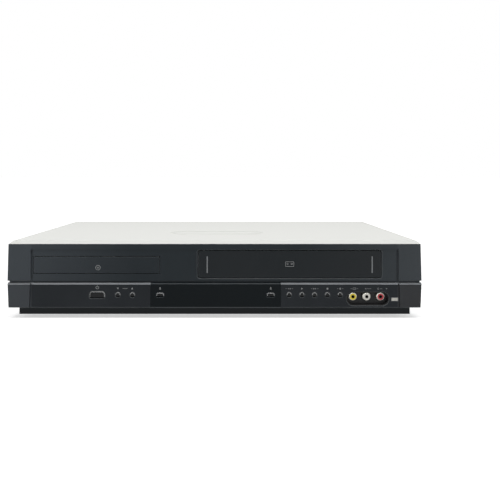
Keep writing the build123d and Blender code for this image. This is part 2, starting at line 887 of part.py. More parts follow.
for name, x in jack_x.items():
    with BuildPart() as jack:
        along_y(x, (front + jack_inset, front + jack_inset + jack_length), jack_height, jack_radius)
        flange_y = (bezel_back, bezel_back + jack_flange)
        along_y(x, flange_y, jack_height, jack_radius + jack_flange)
        chamfer(jack.faces().sort_by(Axis.Y)[0].edges(), jack_mouth_bevel)
        bore_y = (front + jack_inset, front + jack_inset + jack_bore_depth)
        along_y(x, bore_y, jack_height, jack_bore, Mode.SUBTRACT)
    jack.part.label = name
    export_step(jack.part, f"parts/{name}.step")

with BuildPart() as front_board:
    board_y = (board_front, board_front + board_thickness)
    board_x = [sorted(x for x, width, tall in buttons.values())[end] for end in (0, -1)]
    board_x = (board_x[0] - front_board_margin - power_width / 2, board_x[1] + front_board_margin)
    block(board_x, board_y, (panel_bottom + wall + seam, panel_top - wall))
    for x, width, tall in buttons.values():
        side = switch_side / 2
        block(
            (x - side, x + side),
            (board_front - switch_height, board_front),
            (button_height - side, button_height + side),
        )
        along_y(x, (plunger_tip, board_front - switch_height), button_height, stem_radius)
front_board.part.label = "front_board"
export_step(front_board.part, "parts/front_board.step")

with BuildPart() as display_module:
    glass_half = display_width / 2 - seam
    glass_tall = display_height / 2 - seam
    block(
        (window_middle - glass_half, window_middle + glass_half),
        (board_front - display_depth, board_front),
        (display_middle - glass_tall, display_middle + glass_tall),
    )
    fillet(display_module.edges().filter_by(Axis.Y), 1.0)
display_module.part.label = "display_module"
export_step(display_module.part, "parts/display_module.step")


# ---------------------------------------------------------------- rear sockets and boards
def rear_block(x, width, z, tall, depth, out):
    """A socket body that runs from inside the case to out beyond the rear panel."""
    block((x - width / 2, x + width / 2), (back - depth, back + out), (z - tall / 2, z + tall / 2))


with BuildPart() as scart_sockets:
    for x in scart_x:
        rear_block(x, scart_width, scart_middle, scart_height, scart_depth, rear_socket_proud)
        mouth = (back + rear_socket_proud - scart_mouth, back + rear_socket_proud)
        half = scart_width / 2 - scart_wall
        tall = scart_height / 2 - scart_wall
        block((x - half, x + half), mouth, (scart_middle - tall, scart_middle + tall), Mode.SUBTRACT)
        half = scart_tongue_width / 2
        tall = scart_tongue / 2
        block((x - half, x + half), (mouth[0], mouth[1] - 1), (scart_middle - tall, scart_middle + tall))
scart_sockets.part.label = "scart_sockets"
export_step(scart_sockets.part, "parts/scart_sockets.step")

with BuildPart() as output_jacks:
    reach = output_jack_pitch + 2 * jack_radius + 3
    rear_block(output_jack_x, reach, scart_middle, reach, output_block_depth, -sheet)
    for x, z in output_places:
        along_y(x, (back - sheet, back + rear_socket_proud), z, jack_radius)
        bore_y = (back + rear_socket_proud - jack_bore_depth, back + rear_socket_proud)
        along_y(x, bore_y, z, jack_bore, Mode.SUBTRACT)
output_jacks.part.label = "output_jacks"
export_step(output_jacks.part, "parts/output_jacks.step")

with BuildPart() as tuner_can:
    block(
        (tuner_x - tuner_width / 2, tuner_x + tuner_width / 2),
        (back - sheet - tuner_depth, back - sheet),
        (ledge_top, tuner_high),
    )
    for z in aerial_places:
        along_y(tuner_x, (back - sheet, back + rear_socket_proud), z, aerial_radius)
        bore_y = (back + rear_socket_proud - aerial_bore_depth, back + rear_socket_proud)
        along_y(tuner_x, bore_y, z, aerial_bore, Mode.SUBTRACT)
    for y in (back - 10, back - tuner_depth + 5):
        upright(tuner_x - tuner_width / 2 + 3, y, (pan_top, ledge_top), standoff_radius)
tuner_can.part.label = "tuner_can"
export_step(tuner_can.part, "parts/tuner_can.step")

with BuildPart() as mains_inlet:
    rear_block(inlet_x, inlet_width, inlet_middle, inlet_height, inlet_body, inlet_proud)
    with BuildSketch(facing(back + inlet_proud)):
        with Locations((inlet_x, inlet_middle)):
            SlotOverall(inlet_width - 2 * inlet_lip, inlet_height - 2 * inlet_lip)
    extrude(amount=inlet_depth, mode=Mode.SUBTRACT)
    for x in (inlet_x - inlet_pin_pitch / 2, inlet_x + inlet_pin_pitch / 2):
        along_y(x, (back + inlet_proud - inlet_depth, back), inlet_middle, inlet_pin_radius)
mains_inlet.part.label = "mains_inlet"
export_step(mains_inlet.part, "parts/mains_inlet.step")

with BuildPart() as main_board:
    board_z = (board_height, board_height + board_thickness)
    block((main_board_left, main_board_right), (main_board_notch, deck_back), board_z)
    block((main_board_left, main_board_middle), (main_board_front, main_board_notch), board_z)
    for x, y, width, depth in chips:
        chip_x = (main_board_left + x, main_board_left + x + width)
        chip_y = (main_board_front + y, main_board_front + y + depth)
        block(chip_x, chip_y, (board_z[1], board_z[1] + chip_height))
    for place in range(4):
        upright(
            main_board_left + small_capacitor_inset[0] + place * small_capacitor_pitch,
            main_board_notch + small_capacitor_inset[1],
            (board_z[1], board_z[1] + small_capacitor_height),
            small_capacitor_radius,
        )
main_board.part.label = "main_board"
export_step(main_board.part, "parts/main_board.step")

with BuildPart() as power_board:
    block((power_board_left, power_board_right), (power_board_front, power_board_back), board_z)
    for inset in capacitor_inset:
        upright(
            power_board_left + inset,
            power_board_back - capacitor_back_inset,
            (board_z[1], board_z[1] + capacitor_height),
            capacitor_radius,
        )
    # A finned heat sink along the inner edge.
    sink_x = (power_board_right - sink_side_inset - sink_width, power_board_right - sink_side_inset)
    sink_y = (power_board_front + board_edge, power_board_back - sink_back_inset)
    sink_z = (board_z[1], board_z[1] + sink_height)
    block(sink_x, sink_y, sink_z)
    for fin in range(int((sink_y[1] - sink_y[0]) / fin_pitch)):
        y = sink_y[0] + (fin_pitch + fin_gap) / 4 + fin * fin_pitch
        block((sink_x[0] + sink_web, sink_x[1]), (y, y + fin_gap), sink_z, Mode.SUBTRACT)
power_board.part.label = "power_board"
export_step(power_board.part, "parts/power_board.step")

with BuildPart() as transformer:
    core_x = power_board_left + transformer_side_inset
    core_y = power_board_front + board_edge
    block(
        (core_x, core_x + transformer_width),
        (core_y, core_y + transformer_depth),
        (board_z[1], board_z[1] + transformer_height),
    )
    fillet(transformer.edges().filter_by(Axis.Z), wall)
transformer.part.label = "transformer"
export_step(transformer.part, "parts/transformer.step")

# ---------------------------------------------------------------- disc loader
tooth_pitch = math.pi * gear_module
tooth_half = tooth_share * tooth_pitch / 2
tooth_out = 0.9 * gear_module
tooth_in = 1.2 * gear_module
flank = math.tan(math.radians(20))
tip_half = tooth_half - tooth_out * flank
root_half = tooth_half + tooth_in * flank
rack_z = (tray_bottom - rack_depth, tray_bottom)
rack_count = math.ceil(tray_travel / tooth_pitch) + 4

with BuildPart() as disc_tray:
    block((tray_x - tray_half, tray_x + tray_half), (tray_front, tray_back), (tray_bottom, tray_top))
    fillet(disc_tray.edges().filter_by(Axis.Z).group_by(Axis.Y)[-1], tray_corner)
    recess = disc_radius + move_gap
    upright(tray_x, disc_y, (tray_top - disc_recess, tray_top), recess, Mode.SUBTRACT)
    upright(
        tray_x,
        disc_y,
        (tray_top - disc_recess - 0.8, tray_top),
        small_disc_radius + move_gap,
        Mode.SUBTRACT,
    )
    # The slot through which the turntable and the pickup reach the disc.
    with BuildSketch(Plane.XY.offset(tray_bottom)):
        with Locations((tray_x, disc_y + (disc_radius - slot_radius) / 2 - 1)):
            RectangleRounded(2 * slot_radius, disc_radius + slot_radius - 2, slot_corner)
    extrude(amount=tray_thickness, mode=Mode.SUBTRACT)
    # Finger notches at both sides of the disc.
    for x in (tray_x - tray_half, tray_x + tray_half):
        upright(x, disc_y - finger_offset, (tray_top - disc_recess, tray_top), finger_radius, Mode.SUBTRACT)
    # The rack under the tray, with its teeth towards +X.
    rack_y = (pinion_y - 1.5 * tooth_pitch, pinion_y + (rack_count - 1.5) * tooth_pitch)
    block((rack_x - 4, rack_x - tooth_in), rack_y, rack_z)
    with BuildSketch(Plane.XY.offset(rack_z[0])):
        for place in range(1, rack_count):
            y = rack_y[0] + place * tooth_pitch
            Polygon(
                (rack_x - tooth_in - 0.2, y - root_half),
                (rack_x + tooth_out, y - tip_half),
                (rack_x + tooth_out, y + tip_half),
                (rack_x - tooth_in - 0.2, y + root_half),
                align=None,
            )
    extrude(amount=rack_depth)
disc_tray.part.label = "disc_tray"
export_step(disc_tray.part, "parts/disc_tray.step")

with BuildPart() as tray_door:
    with BuildSketch(facing(centre_face)):
        with Locations((tray_x, tray_door_middle)):
            RectangleRounded(tray_door_width, tray_door_height, 0.6)
    extrude(amount=-tray_door_thickness)
    chamfer(tray_door.faces().sort_by(Axis.Y)[0].edges(), 0.4)
tray_door.part.label = "tray_door"
export_step(tray_door.part, "parts/tray_door.step")

with BuildPart() as tray_pinion:
    upright(pinion_x, pinion_y, (drive_shelf + seam, rack_z[0] - 0.2), pulley_radius)
    groove_z = (drive_shelf + 1.2, drive_shelf + 3.6)
    with BuildSketch(Plane.XY.offset(groove_z[0])):
        with Locations((pinion_x, pinion_y)):
            Circle(pulley_radius)
            Circle(pulley_radius - pulley_groove, mode=Mode.SUBTRACT)
    extrude(amount=groove_z[1] - groove_z[0], mode=Mode.SUBTRACT)
    upright(pinion_x, pinion_y, (rack_z[0] - 0.2, rack_z[1] - seam), pinion_radius - tooth_in)
    with BuildSketch(Plane.XY.offset(rack_z[0] - 0.2)):
        with Locations((pinion_x, pinion_y)):
            with PolarLocations(0, pinion_teeth):
                Polygon(
                    (pinion_radius - tooth_in - 0.2, -root_half),
                    (pinion_radius + tooth_out, -tip_half),
                    (pinion_radius + tooth_out, tip_half),
                    (pinion_radius - tooth_in - 0.2, root_half),
                    align=None,
                )
    extrude(amount=rack_depth + 0.2 - seam)
    upright(pinion_x, pinion_y, (drive_shelf, tray_bottom), axle_radius + run_fit, Mode.SUBTRACT)
tray_pinion.part.label = "tray_pinion"
export_step(tray_pinion.part, "parts/tray_pinion.step")

with BuildPart() as motor_pulley:
    upright(motor_x, pinion_y, (drive_shelf + seam, drive_shelf + 5), motor_pulley_radius)
    with BuildSketch(Plane.XY.offset(groove_z[0])):
        with Locations((motor_x, pinion_y)):
            Circle(motor_pulley_radius)
            Circle(motor_pulley_radius - pulley_groove, mode=Mode.SUBTRACT)
    extrude(amount=groove_z[1] - groove_z[0], mode=Mode.SUBTRACT)
    upright(motor_x, pinion_y, (drive_shelf - 10, drive_shelf + 4), motor_shaft_radius)
motor_pulley.part.label = "motor_pulley"
export_step(motor_pulley.part, "parts/motor_pulley.step")

with BuildPart() as loader_motor:
    motor_top = drive_shelf - shelf_thickness
    upright(motor_x, pinion_y, (motor_top - motor_height, motor_top), motor_radius)
    upright(motor_x, pinion_y, (motor_top, drive_shelf), 3)
    upright(motor_x, pinion_y, (motor_top - 9, drive_shelf), motor_shaft_radius + run_fit, Mode.SUBTRACT)
loader_motor.part.label = "loader_motor"
export_step(loader_motor.part, "parts/loader_motor.step")

with BuildPart() as loader_belt:
    inner = (pulley_radius - pulley_groove + belt_gap, motor_pulley_radius - pulley_groove + belt_gap)
    with BuildSketch(Plane.XY.offset(groove_z[0] + 0.4)):
        with Locations((pinion_x, pinion_y)):
            Circle(inner[0] + belt_thickness)
        with Locations((motor_x, pinion_y)):
            Circle(inner[1] + belt_thickness)
        make_hull()
        with BuildSketch(Plane.XY, mode=Mode.SUBTRACT):
            with Locations((pinion_x, pinion_y)):
                Circle(inner[0])
            with Locations((motor_x, pinion_y)):
                Circle(inner[1])
            make_hull()
    extrude(amount=groove_z[1] - groove_z[0] - 0.8)
loader_belt.part.label = "loader_belt"
export_step(loader_belt.part, "parts/loader_belt.step")

with BuildPart() as loader_frame:
    side_x = (tray_x + loader_half, tray_x + loader_half + loader_wall)
    block(side_x, (loader_front, loader_back), (loader_floor, loader_top))
    guide_x = (side_x[0] - 2.5, side_x[0])
    block(guide_x, (loader_front, loader_back), (tray_bottom - 2, tray_bottom - 0.2))
    block(guide_x, (loader_front, loader_back - upper_guide_inset), (tray_top + seam, tray_top + seam + 1.5))
    for y in (loader_front + 14, loader_back - 6):
        upright(side_x[0] + loader_wall / 2, y, (pan_top, loader_floor), loader_wall / 2)
    # Half of the rear wall and of the floor bar that carries the traverse's pivots.
    block((tray_x, side_x[0]), (loader_back - loader_wall, loader_back), (loader_floor, loader_top))
    block((tray_x, side_x[0]), (traverse_pivot_y - 9, loader_back), (loader_floor, loader_floor_top))
    lug_x = (tray_x + traverse_half_width + seam, tray_x + traverse_half_width + seam + 4)
    block(lug_x, (traverse_pivot_y - 4, traverse_pivot_y + 4), (loader_floor_top, traverse_pivot_z + 4))
    along_x(lug_x, traverse_pivot_y, traverse_pivot_z, traverse_pivot_radius + run_fit, Mode.SUBTRACT)
    shelf_y = (loader_front + 2, pinion_y + 11)
    block((tray_x, side_x[0]), shelf_y, (drive_shelf - shelf_thickness, drive_shelf))
    mirror(about=Plane.YZ.offset(tray_x))
    upright(pinion_x, pinion_y, (drive_shelf, tray_bottom - 0.4), axle_radius)
    upright(motor_x, pinion_y, (drive_shelf - shelf_thickness, drive_shelf), 3.05, Mode.SUBTRACT)
loader_frame.part.label = "loader_frame"
export_step(loader_frame.part, "parts/loader_frame.step")

with BuildPart() as traverse_plate:
    plate_z = (traverse_height, traverse_height + traverse_thickness)
    block(
        (tray_x - traverse_half_width, tray_x + traverse_half_width),
        (disc_y - traverse_nose, traverse_pivot_y + 3),
        plate_z,
    )
    block(
        (tray_x - window_half_width, tray_x + window_half_width),
        (rods_y[0] + 3, rods_y[1] - 3),
        plate_z,
        Mode.SUBTRACT,
    )
    along_x(
        (tray_x - traverse_half_width - 4, tray_x + traverse_half_width + 4),
        traverse_pivot_y,
        traverse_pivot_z,
        traverse_pivot_radius,
    )
    # The spindle motor below the turntable, and its shaft.
    motor_z = (traverse_height - spindle_motor_drop, plate_z[1] + 1.5)
    upright(tray_x, disc_y, motor_z, spindle_motor_radius)
    upright(tray_x, disc_y, (plate_z[1], turntable_top - 1), spindle_radius)
    for y in rods_y:
        bar_x = (tray_x - window_half_width, tray_x + window_half_width)
        block(bar_x, (y - rod_radius, y + rod_radius), (traverse_height, rod_z + 2.5))
    for x in (tray_x - rod_spacing / 2, tray_x + rod_spacing / 2):
        along_y(x, rods_y, rod_z, rod_radius)
traverse_plate.part.label = "traverse_plate"
export_step(traverse_plate.part, "parts/traverse_plate.step")

with BuildPart() as pickup_sled:
    sled_y = (disc_y + sled_start, disc_y + sled_start + sled_length)
    sled_top = rod_z + 2.6
    block((tray_x - sled_half_width, tray_x + sled_half_width), sled_y, (rod_z - 2.2, sled_top))
    upright(tray_x, sled_y[0] + lens_radius + 1, (sled_top, sled_top + lens_height), lens_radius)
    for x in (tray_x - rod_spacing / 2, tray_x + rod_spacing / 2):
        along_y(x, sled_y, rod_z, rod_radius + run_fit, Mode.SUBTRACT)
pickup_sled.part.label = "pickup_sled"
export_step(pickup_sled.part, "parts/pickup_sled.step")

with BuildPart() as turntable:
    plate_bottom = turntable_top - turntable_plate
    upright(tray_x, disc_y, (plate_bottom, turntable_top), turntable_radius)
    upright(tray_x, disc_y, (turntable_top, turntable_top + 1), hub_radius)
    upright(tray_x, disc_y, (plate_z[1] + 2, plate_bottom), hub_radius - turntable_plate)
    bore_z = (plate_z[1] + 2, turntable_top - 0.6)
    upright(tray_x, disc_y, bore_z, spindle_radius + run_fit, Mode.SUBTRACT)
turntable.part.label = "turntable"
export_step(turntable.part, "parts/turntable.step")

with BuildPart() as clamp_bridge:
    bridge_z = (loader_top, loader_top + bridge_thickness)
    bridge_half = loader_half + loader_wall
    bridge_y = (disc_y - bridge_half_depth, disc_y + bridge_half_depth)
    block((tray_x - bridge_half, tray_x + bridge_half), bridge_y, bridge_z)
    upright(tray_x, disc_y, bridge_z, puck_neck_radius + run_fit, Mode.SUBTRACT)
clamp_bridge.part.label = "clamp_bridge"
export_step(clamp_bridge.part, "parts/clamp_bridge.step")

with BuildPart() as clamp_puck:
    puck_bottom = tray_top + puck_gap
    flange_top = puck_bottom + puck_flange
    rim_bottom = bridge_z[1] + 0.2
    upright(tray_x, disc_y, (puck_bottom, flange_top), puck_flange_radius)
    upright(tray_x, disc_y, (flange_top, rim_bottom), puck_neck_radius)
    upright(tray_x, disc_y, (rim_bottom, rim_bottom + bridge_thickness), puck_flange_radius)
clamp_puck.part.label = "clamp_puck"
export_step(clamp_puck.part, "parts/clamp_puck.step")


# ---------------------------------------------------------------- cassette flap and tape deck
with BuildPart() as cassette_flap:
    flap_front = centre_face + 0.1
    flap_back = flap_front + flap_thickness
    flap_middle = flap_bottom + flap_height / 2
    strip_middle = flap_middle - guide_strip_drop
    with BuildSketch(facing(flap_front)):
        with Locations((deck_x, flap_middle)):
            RectangleRounded(flap_width, flap_height, flap_corner)
    extrude(amount=-flap_thickness)
    chamfer(cassette_flap.faces().sort_by(Axis.Y)[0].edges(), 0.4)
    for x in strip_x:
        with BuildSketch(facing(flap_front)):
            with Locations((x, strip_middle)):
                Rectangle(guide_strip_width, guide_strip_height)
        extrude(amount=-strip_inset, mode=Mode.SUBTRACT)
    for side in (-1, 1):
        ear = deck_x + side * (flap_width / 2 - ear_inset)
        inner = ear - side * flap_ear_width
        ear_x = (min(ear, inner), max(ear, inner))
        ear_y = (flap_pivot_y - flap_ear_radius, flap_pivot_y + flap_ear_radius)
        arm_top = flap_bottom + flap_height - 0.5
        block(ear_x, (flap_back, ear_y[1]), (arm_top - 9, arm_top))
        block(ear_x, ear_y, (arm_top, flap_pivot_height))
        along_x(ear_x, flap_pivot_y, flap_pivot_height, flap_ear_radius)
        tip = ear + side * (move_gap + flap_ear_width)
        along_x((min(ear, tip), max(ear, tip)), flap_pivot_y, flap_pivot_height, flap_pin_radius)
cassette_flap.part.label = "cassette_flap"
export_step(cassette_flap.part, "parts/cassette_flap.step")

with BuildPart() as flap_strips:
    for x in strip_x:
        block(
            (x - guide_strip_width / 2, x + guide_strip_width / 2),
            (flap_front - strip_proud, flap_front + strip_inset),
            (strip_middle - guide_strip_height / 2, strip_middle + guide_strip_height / 2),
        )
flap_strips.part.label = "flap_strips"
export_step(flap_strips.part, "parts/flap_strips.step")

with BuildPart() as deck_chassis:
    floor_z = (deck_floor, deck_top)
    block((deck_x - deck_half, deck_x + deck_half + deck_wall), (deck_front, deck_back), floor_z)
    # One side wall with the slider's slot, and its mirror image.
    wall_x = (deck_x + deck_half, deck_x + deck_half + deck_wall)
    block(wall_x, (deck_front, deck_wall_back), (deck_floor, deck_wall_top))
    slot_y = (carrier_front - 1, carrier_back + carrier_travel + 1)
    slot_z = (rail_height - rail_lug / 2 - 0.2, rail_height + rail_lug / 2 + 0.2)
    block(wall_x, slot_y, slot_z, Mode.SUBTRACT)
    for y in (deck_front + 8, deck_back - 8):
        upright(deck_x + deck_half - 6, y, (pan_top, deck_floor), standoff_radius)
    mirror(about=Plane.YZ.offset(deck_x))
    # Pins for the reels, the pinch arm and the loading cam, and the capstan's bearing.
    for x in reel_x:
        upright(x, reel_y, (deck_top, deck_top + reel_hub_height), reel_pin_radius)
    upright(pinch_pivot_x, pinch_pivot_y, (deck_top, deck_top + 10), arm_pin_radius)
    upright(*cam_place, (deck_top, deck_top + 5), arm_pin_radius)
    bearing_z = (deck_floor, deck_top + capstan_bearing_height)
    upright(*bearing, bearing_z, capstan_bearing_radius)
    upright(*bearing, bearing_z, capstan_radius + run_fit, Mode.SUBTRACT)
    # Tracks for the feet of the two tape guides.
    for x in post_x:
        track = post_foot / 4 + 0.2
        block((x - track, x + track), track_y, floor_z, Mode.SUBTRACT)
deck_chassis.part.label = "deck_chassis"
export_step(deck_chassis.part, "parts/deck_chassis.step")

with BuildPart() as carrier_slider:
    side_x = (deck_x + slider_half, deck_x + slider_outer)
    carrier_y = (carrier_front, carrier_back)
    block(side_x, carrier_y, (slider_low, deck_wall_top))
    for y in pin_y:
        slot = carrier_pin_radius + 0.1
        block(side_x, (y - slot, y + slot), (pin_z - carrier_drop, pin_z), Mode.SUBTRACT)
        along_x(side_x, y, pin_z, slot, Mode.SUBTRACT)
        along_x(side_x, y, pin_z - carrier_drop, slot, Mode.SUBTRACT)
    lug_x = (side_x[1], side_x[1] + move_gap + deck_wall - 0.3)
    lug_z = (rail_height - rail_lug / 2, rail_height + rail_lug / 2)
    block(lug_x, carrier_y, lug_z)
    rod_end = carrier_back - 4
    mirror(about=Plane.YZ.offset(deck_x))
    along_x((deck_x - slider_outer, deck_x + slider_outer), rod_end, slider_rod_z, 2)
    for side in (-1, 1):
        near = deck_x + side * slider_half
        far = deck_x + side * slider_outer
        cheek_z = (deck_wall_top, slider_rod_z + 2)
        block((min(near, far), max(near, far)), (rod_end - 4, carrier_back), cheek_z)
carrier_slider.part.label = "carrier_slider"
export_step(carrier_slider.part, "parts/carrier_slider.step")

with BuildPart() as cassette_carrier:
    side_x = (deck_x + carrier_inner, deck_x + carrier_half)
    block(side_x, carrier_y, (carrier_low, carrier_high))
    block((side_x[0] - carrier_ledge, side_x[0]), carrier_y, (carrier_low, carrier_floor))
    for y in pin_y:
        along_x((side_x[1], side_x[1] + 0.4 + slider_plate - 0.1), y, pin_z, carrier_pin_radius)
    top_z = (carrier_high - carrier_plate, carrier_high)
    block((deck_x, side_x[0]), (carrier_front, carrier_back), top_z)
    end_y = (carrier_back - carrier_plate, carrier_back)
    block((side_x[0] - carrier_ledge, side_x[0]), end_y, (carrier_low, carrier_high))
    mirror(about=Plane.YZ.offset(deck_x))
cassette_carrier.part.label = "cassette_carrier"
export_step(cassette_carrier.part, "parts/cassette_carrier.step")

with BuildPart() as drum_base:
    upright(deck_x, drum_y, (deck_top, drum_base_top), drum_radius)
    upright(deck_x, drum_y, (drum_base_top, drum_top - 1), drum_shaft_radius)
    chamfer(drum_base.edges().filter_by(GeomType.CIRCLE).group_by(Axis.Z)[0], 1)
drum_base.part.label = "drum_base"
export_step(drum_base.part, "parts/drum_base.step")

with BuildPart() as head_drum:
    upright(deck_x, drum_y, (drum_base_top + seam, drum_top), drum_radius)
    upright(deck_x, drum_y, (drum_top - 3, drum_top), drum_radius - 6, Mode.SUBTRACT)
    upright(deck_x, drum_y, (drum_top - 3, drum_top), 9)
    bore_z = (drum_base_top, drum_top)
    upright(deck_x, drum_y, bore_z, drum_shaft_radius + run_fit, Mode.SUBTRACT)
head_drum.part.label = "head_drum"
export_step(head_drum.part, "parts/head_drum.step")

for name, x in zip(("supply_reel", "take_up_reel"), reel_x):
    with BuildPart() as reel:
        table_z = (deck_top + seam, deck_top + seam + reel_table)
        hub_z = (table_z[1], table_z[1] + reel_hub_height)
        upright(x, reel_y, table_z, reel_radius)
        upright(x, reel_y, hub_z, reel_hub_radius)
        for turn in range(3):
            angle = math.radians(120 * turn + 90)
            reach = reel_hub_radius + 0.8
            upright(x + reach * math.cos(angle), reel_y + reach * math.sin(angle), hub_z, 1.2)
        bore_z = (table_z[0], table_z[0] + reel_hub_height)
        upright(x, reel_y, bore_z, reel_pin_radius + run_fit, Mode.SUBTRACT)
    reel.part.label = name
    export_step(reel.part, f"parts/{name}.step")

with BuildPart() as capstan:
    upright(*bearing, (flywheel_z[0], deck_top + capstan_height), capstan_radius)
    upright(*bearing, flywheel_z, flywheel_radius)
    upright(*bearing, (flywheel_z[0], flywheel_z[0] + 1.2), flywheel_radius - 4, Mode.SUBTRACT)
    upright(*bearing, flywheel_z, 4)
capstan.part.label = "capstan"
export_step(capstan.part, "parts/capstan.step")

with BuildPart() as pinch_arm:
    arm_z = (deck_top + seam, deck_top + seam + 3)
    upright(pinch_pivot_x, pinch_pivot_y, arm_z, 5)
    upright(roller_x, pinch_pivot_y, arm_z, 4)
    block((roller_x, pinch_pivot_x), (pinch_pivot_y - 3, pinch_pivot_y + 3), arm_z)
    upright(roller_x, pinch_pivot_y, (arm_z[1], arm_z[1] + pinch_roller_height + 4), arm_pin_radius)
    upright(pinch_pivot_x, pinch_pivot_y, arm_z, arm_pin_radius + run_fit, Mode.SUBTRACT)
pinch_arm.part.label = "pinch_arm"
export_step(pinch_arm.part, "parts/pinch_arm.step")

with BuildPart() as pinch_roller:
    roller_z = (arm_z[1] + seam, arm_z[1] + seam + pinch_roller_height)
    upright(roller_x, pinch_pivot_y, roller_z, pinch_roller_radius)
    upright(roller_x, pinch_pivot_y, roller_z, arm_pin_radius + run_fit, Mode.SUBTRACT)
pinch_roller.part.label = "pinch_roller"
export_step(pinch_roller.part, "parts/pinch_roller.step")

for name, x in zip(("supply_guide", "take_up_guide"), post_x):
    with BuildPart() as guide:
        half = post_foot / 2
        foot_z = (deck_top + seam, deck_top + seam + 2.5)
        block((x - half, x + half), (post_start_y - half, post_start_y + half), foot_z)
        block((x - half / 2, x + half / 2), (post_start_y - 3, post_start_y + 3), (deck_floor, foot_z[0]))
        upright(x, post_start_y, (foot_z[1], foot_z[1] + post_height), post_radius)
        post_top = foot_z[1] + post_height
        upright(x, post_start_y, (post_top, post_top + 1.5), post_radius + 0.8)
    guide.part.label = name
    export_step(guide.part, f"parts/{name}.step")

with BuildPart() as loading_cam:
    cam_z = (deck_top + seam, deck_top + seam + 3)
    upright(*cam_place, cam_z, cam_radius)
    upright(*cam_place, cam_z, arm_pin_radius + run_fit, Mode.SUBTRACT)
    with BuildSketch(Plane.XY.offset(cam_z[1] - 1.5)):
        with Locations(cam_place):
            with PolarLocations(cam_radius * 0.62, 5):
                SlotOverall(6, 2.4, rotation=40)
    extrude(amount=1.5, mode=Mode.SUBTRACT)
loading_cam.part.label = "loading_cam"
export_step(loading_cam.part, "parts/loading_cam.step")
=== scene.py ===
# %% [markdown]
# # A disc and cassette player, dressed for its picture
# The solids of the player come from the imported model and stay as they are. This file adds
# the finishes, the printed marks and the small parts, then the camera, floor and light.

# %% Load the frame
import json
import math
import bpy
import bmesh
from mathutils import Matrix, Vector


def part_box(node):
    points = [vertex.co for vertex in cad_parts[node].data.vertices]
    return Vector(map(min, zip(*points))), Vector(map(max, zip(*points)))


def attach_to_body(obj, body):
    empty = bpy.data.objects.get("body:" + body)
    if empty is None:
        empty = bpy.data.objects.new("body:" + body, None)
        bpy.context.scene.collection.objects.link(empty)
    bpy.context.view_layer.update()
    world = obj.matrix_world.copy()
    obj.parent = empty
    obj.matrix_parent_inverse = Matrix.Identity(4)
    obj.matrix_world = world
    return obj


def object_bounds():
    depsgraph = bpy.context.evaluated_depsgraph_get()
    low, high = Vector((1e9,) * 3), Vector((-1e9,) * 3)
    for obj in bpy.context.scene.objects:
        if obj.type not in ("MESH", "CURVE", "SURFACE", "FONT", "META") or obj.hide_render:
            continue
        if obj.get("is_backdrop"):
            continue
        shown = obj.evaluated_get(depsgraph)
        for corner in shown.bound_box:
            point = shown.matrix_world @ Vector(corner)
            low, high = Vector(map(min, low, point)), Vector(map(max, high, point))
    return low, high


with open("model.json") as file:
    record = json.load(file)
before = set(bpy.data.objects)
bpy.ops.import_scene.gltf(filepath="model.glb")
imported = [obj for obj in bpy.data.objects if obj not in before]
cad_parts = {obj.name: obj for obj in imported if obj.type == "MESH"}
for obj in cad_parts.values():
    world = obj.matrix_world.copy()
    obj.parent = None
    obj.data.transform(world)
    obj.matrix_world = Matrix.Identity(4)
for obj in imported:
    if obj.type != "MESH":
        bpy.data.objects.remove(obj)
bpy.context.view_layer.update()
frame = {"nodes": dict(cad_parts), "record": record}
MM = 0.001
print("nodes", len(frame["nodes"]))

# %% [markdown]
# ## Camera
# The picture was taken from a little above, with the lens level: upright edges stay upright.
# So the camera looks straight along +Y, and a small shift puts the player low in the frame.

# %% Camera
EYE = (0.0171, -0.742, 0.1487)  # metres
LENS, SENSOR = 42.33, 36.0  # millimetres
SHIFT = (0.038, -0.15)  # shares of the picture's width

camera = bpy.data.objects.new("camera", bpy.data.cameras.new("camera"))
bpy.context.collection.objects.link(camera)
camera.location = EYE
camera.rotation_euler = (math.radians(90), 0, 0)
camera.data.sensor_width = SENSOR
camera.data.lens = LENS
camera.data.shift_x, camera.data.shift_y = SHIFT
bpy.context.scene.camera = camera
print("camera", EYE, "lens", LENS)

# %% [markdown]
# ## Graphs written as sums
# A finish is a small graph of nodes. Wrapping each socket in a class with + - * and ** lets
# a pattern be written as a line of arithmetic, and the same class serves Geometry Nodes.

# %% Wires and graphs
class Wire:
    """One socket of a graph. Arithmetic on it adds Math nodes."""

    def __init__(self, graph, port):
        self.graph, self.port = graph, port

    def maths(self, operation, other=None, swapped=False):
        first, second = (other, self) if swapped else (self, other)
        values = {0: first} if other is None else {0: first, 1: second}
        return self.graph.put("ShaderNodeMath", {"operation": operation}, values)

    def __add__(self, other): return self.maths("ADD", other)
    def __radd__(self, other): return self.maths("ADD", other, True)
    def __sub__(self, other): return self.maths("SUBTRACT", other)
    def __rsub__(self, other): return self.maths("SUBTRACT", other, True)
    def __mul__(self, other): return self.maths("MULTIPLY", other)
    def __rmul__(self, other): return self.maths("MULTIPLY", other, True)
    def __pow__(self, other): return self.maths("POWER", other)
    def __abs__(self): return self.maths("ABSOLUTE")

    def within(self, low, high):
        """0 below low, 1 above high and a straight ramp between."""
        return self.graph.put(
            "ShaderNodeMapRange", {"clamp": True},
            {"Value": self, "From Min": low, "From Max": high, "To Min": 0.0, "To Max": 1.0})


class Graph:
    """A node tree that is filled by put(type, settings, inputs)."""

    def __init__(self, tree):
        self.tree = tree

    def put(self, kind, settings=None, inputs=None, out=0):
        """Add a node and give the wire of one of its outputs."""
        node = self.tree.nodes.new(kind)
        for name, value in (settings or {}).items():
            setattr(node, name, value)
        for name, value in (inputs or {}).items():
            socket = node.inputs[name]
            if isinstance(value, Wire):
                self.tree.links.new(value.port, socket)
            elif isinstance(value, list) and isinstance(value[0], Wire):
                for wire in value:
                    self.tree.links.new(wire.port, socket)
            else:
                socket.default_value = value
        return Wire(self, node.outputs[out]) if node.outputs else node


def rgba(colour):
    return (*colour, 1.0)


print("wires and graphs defined")

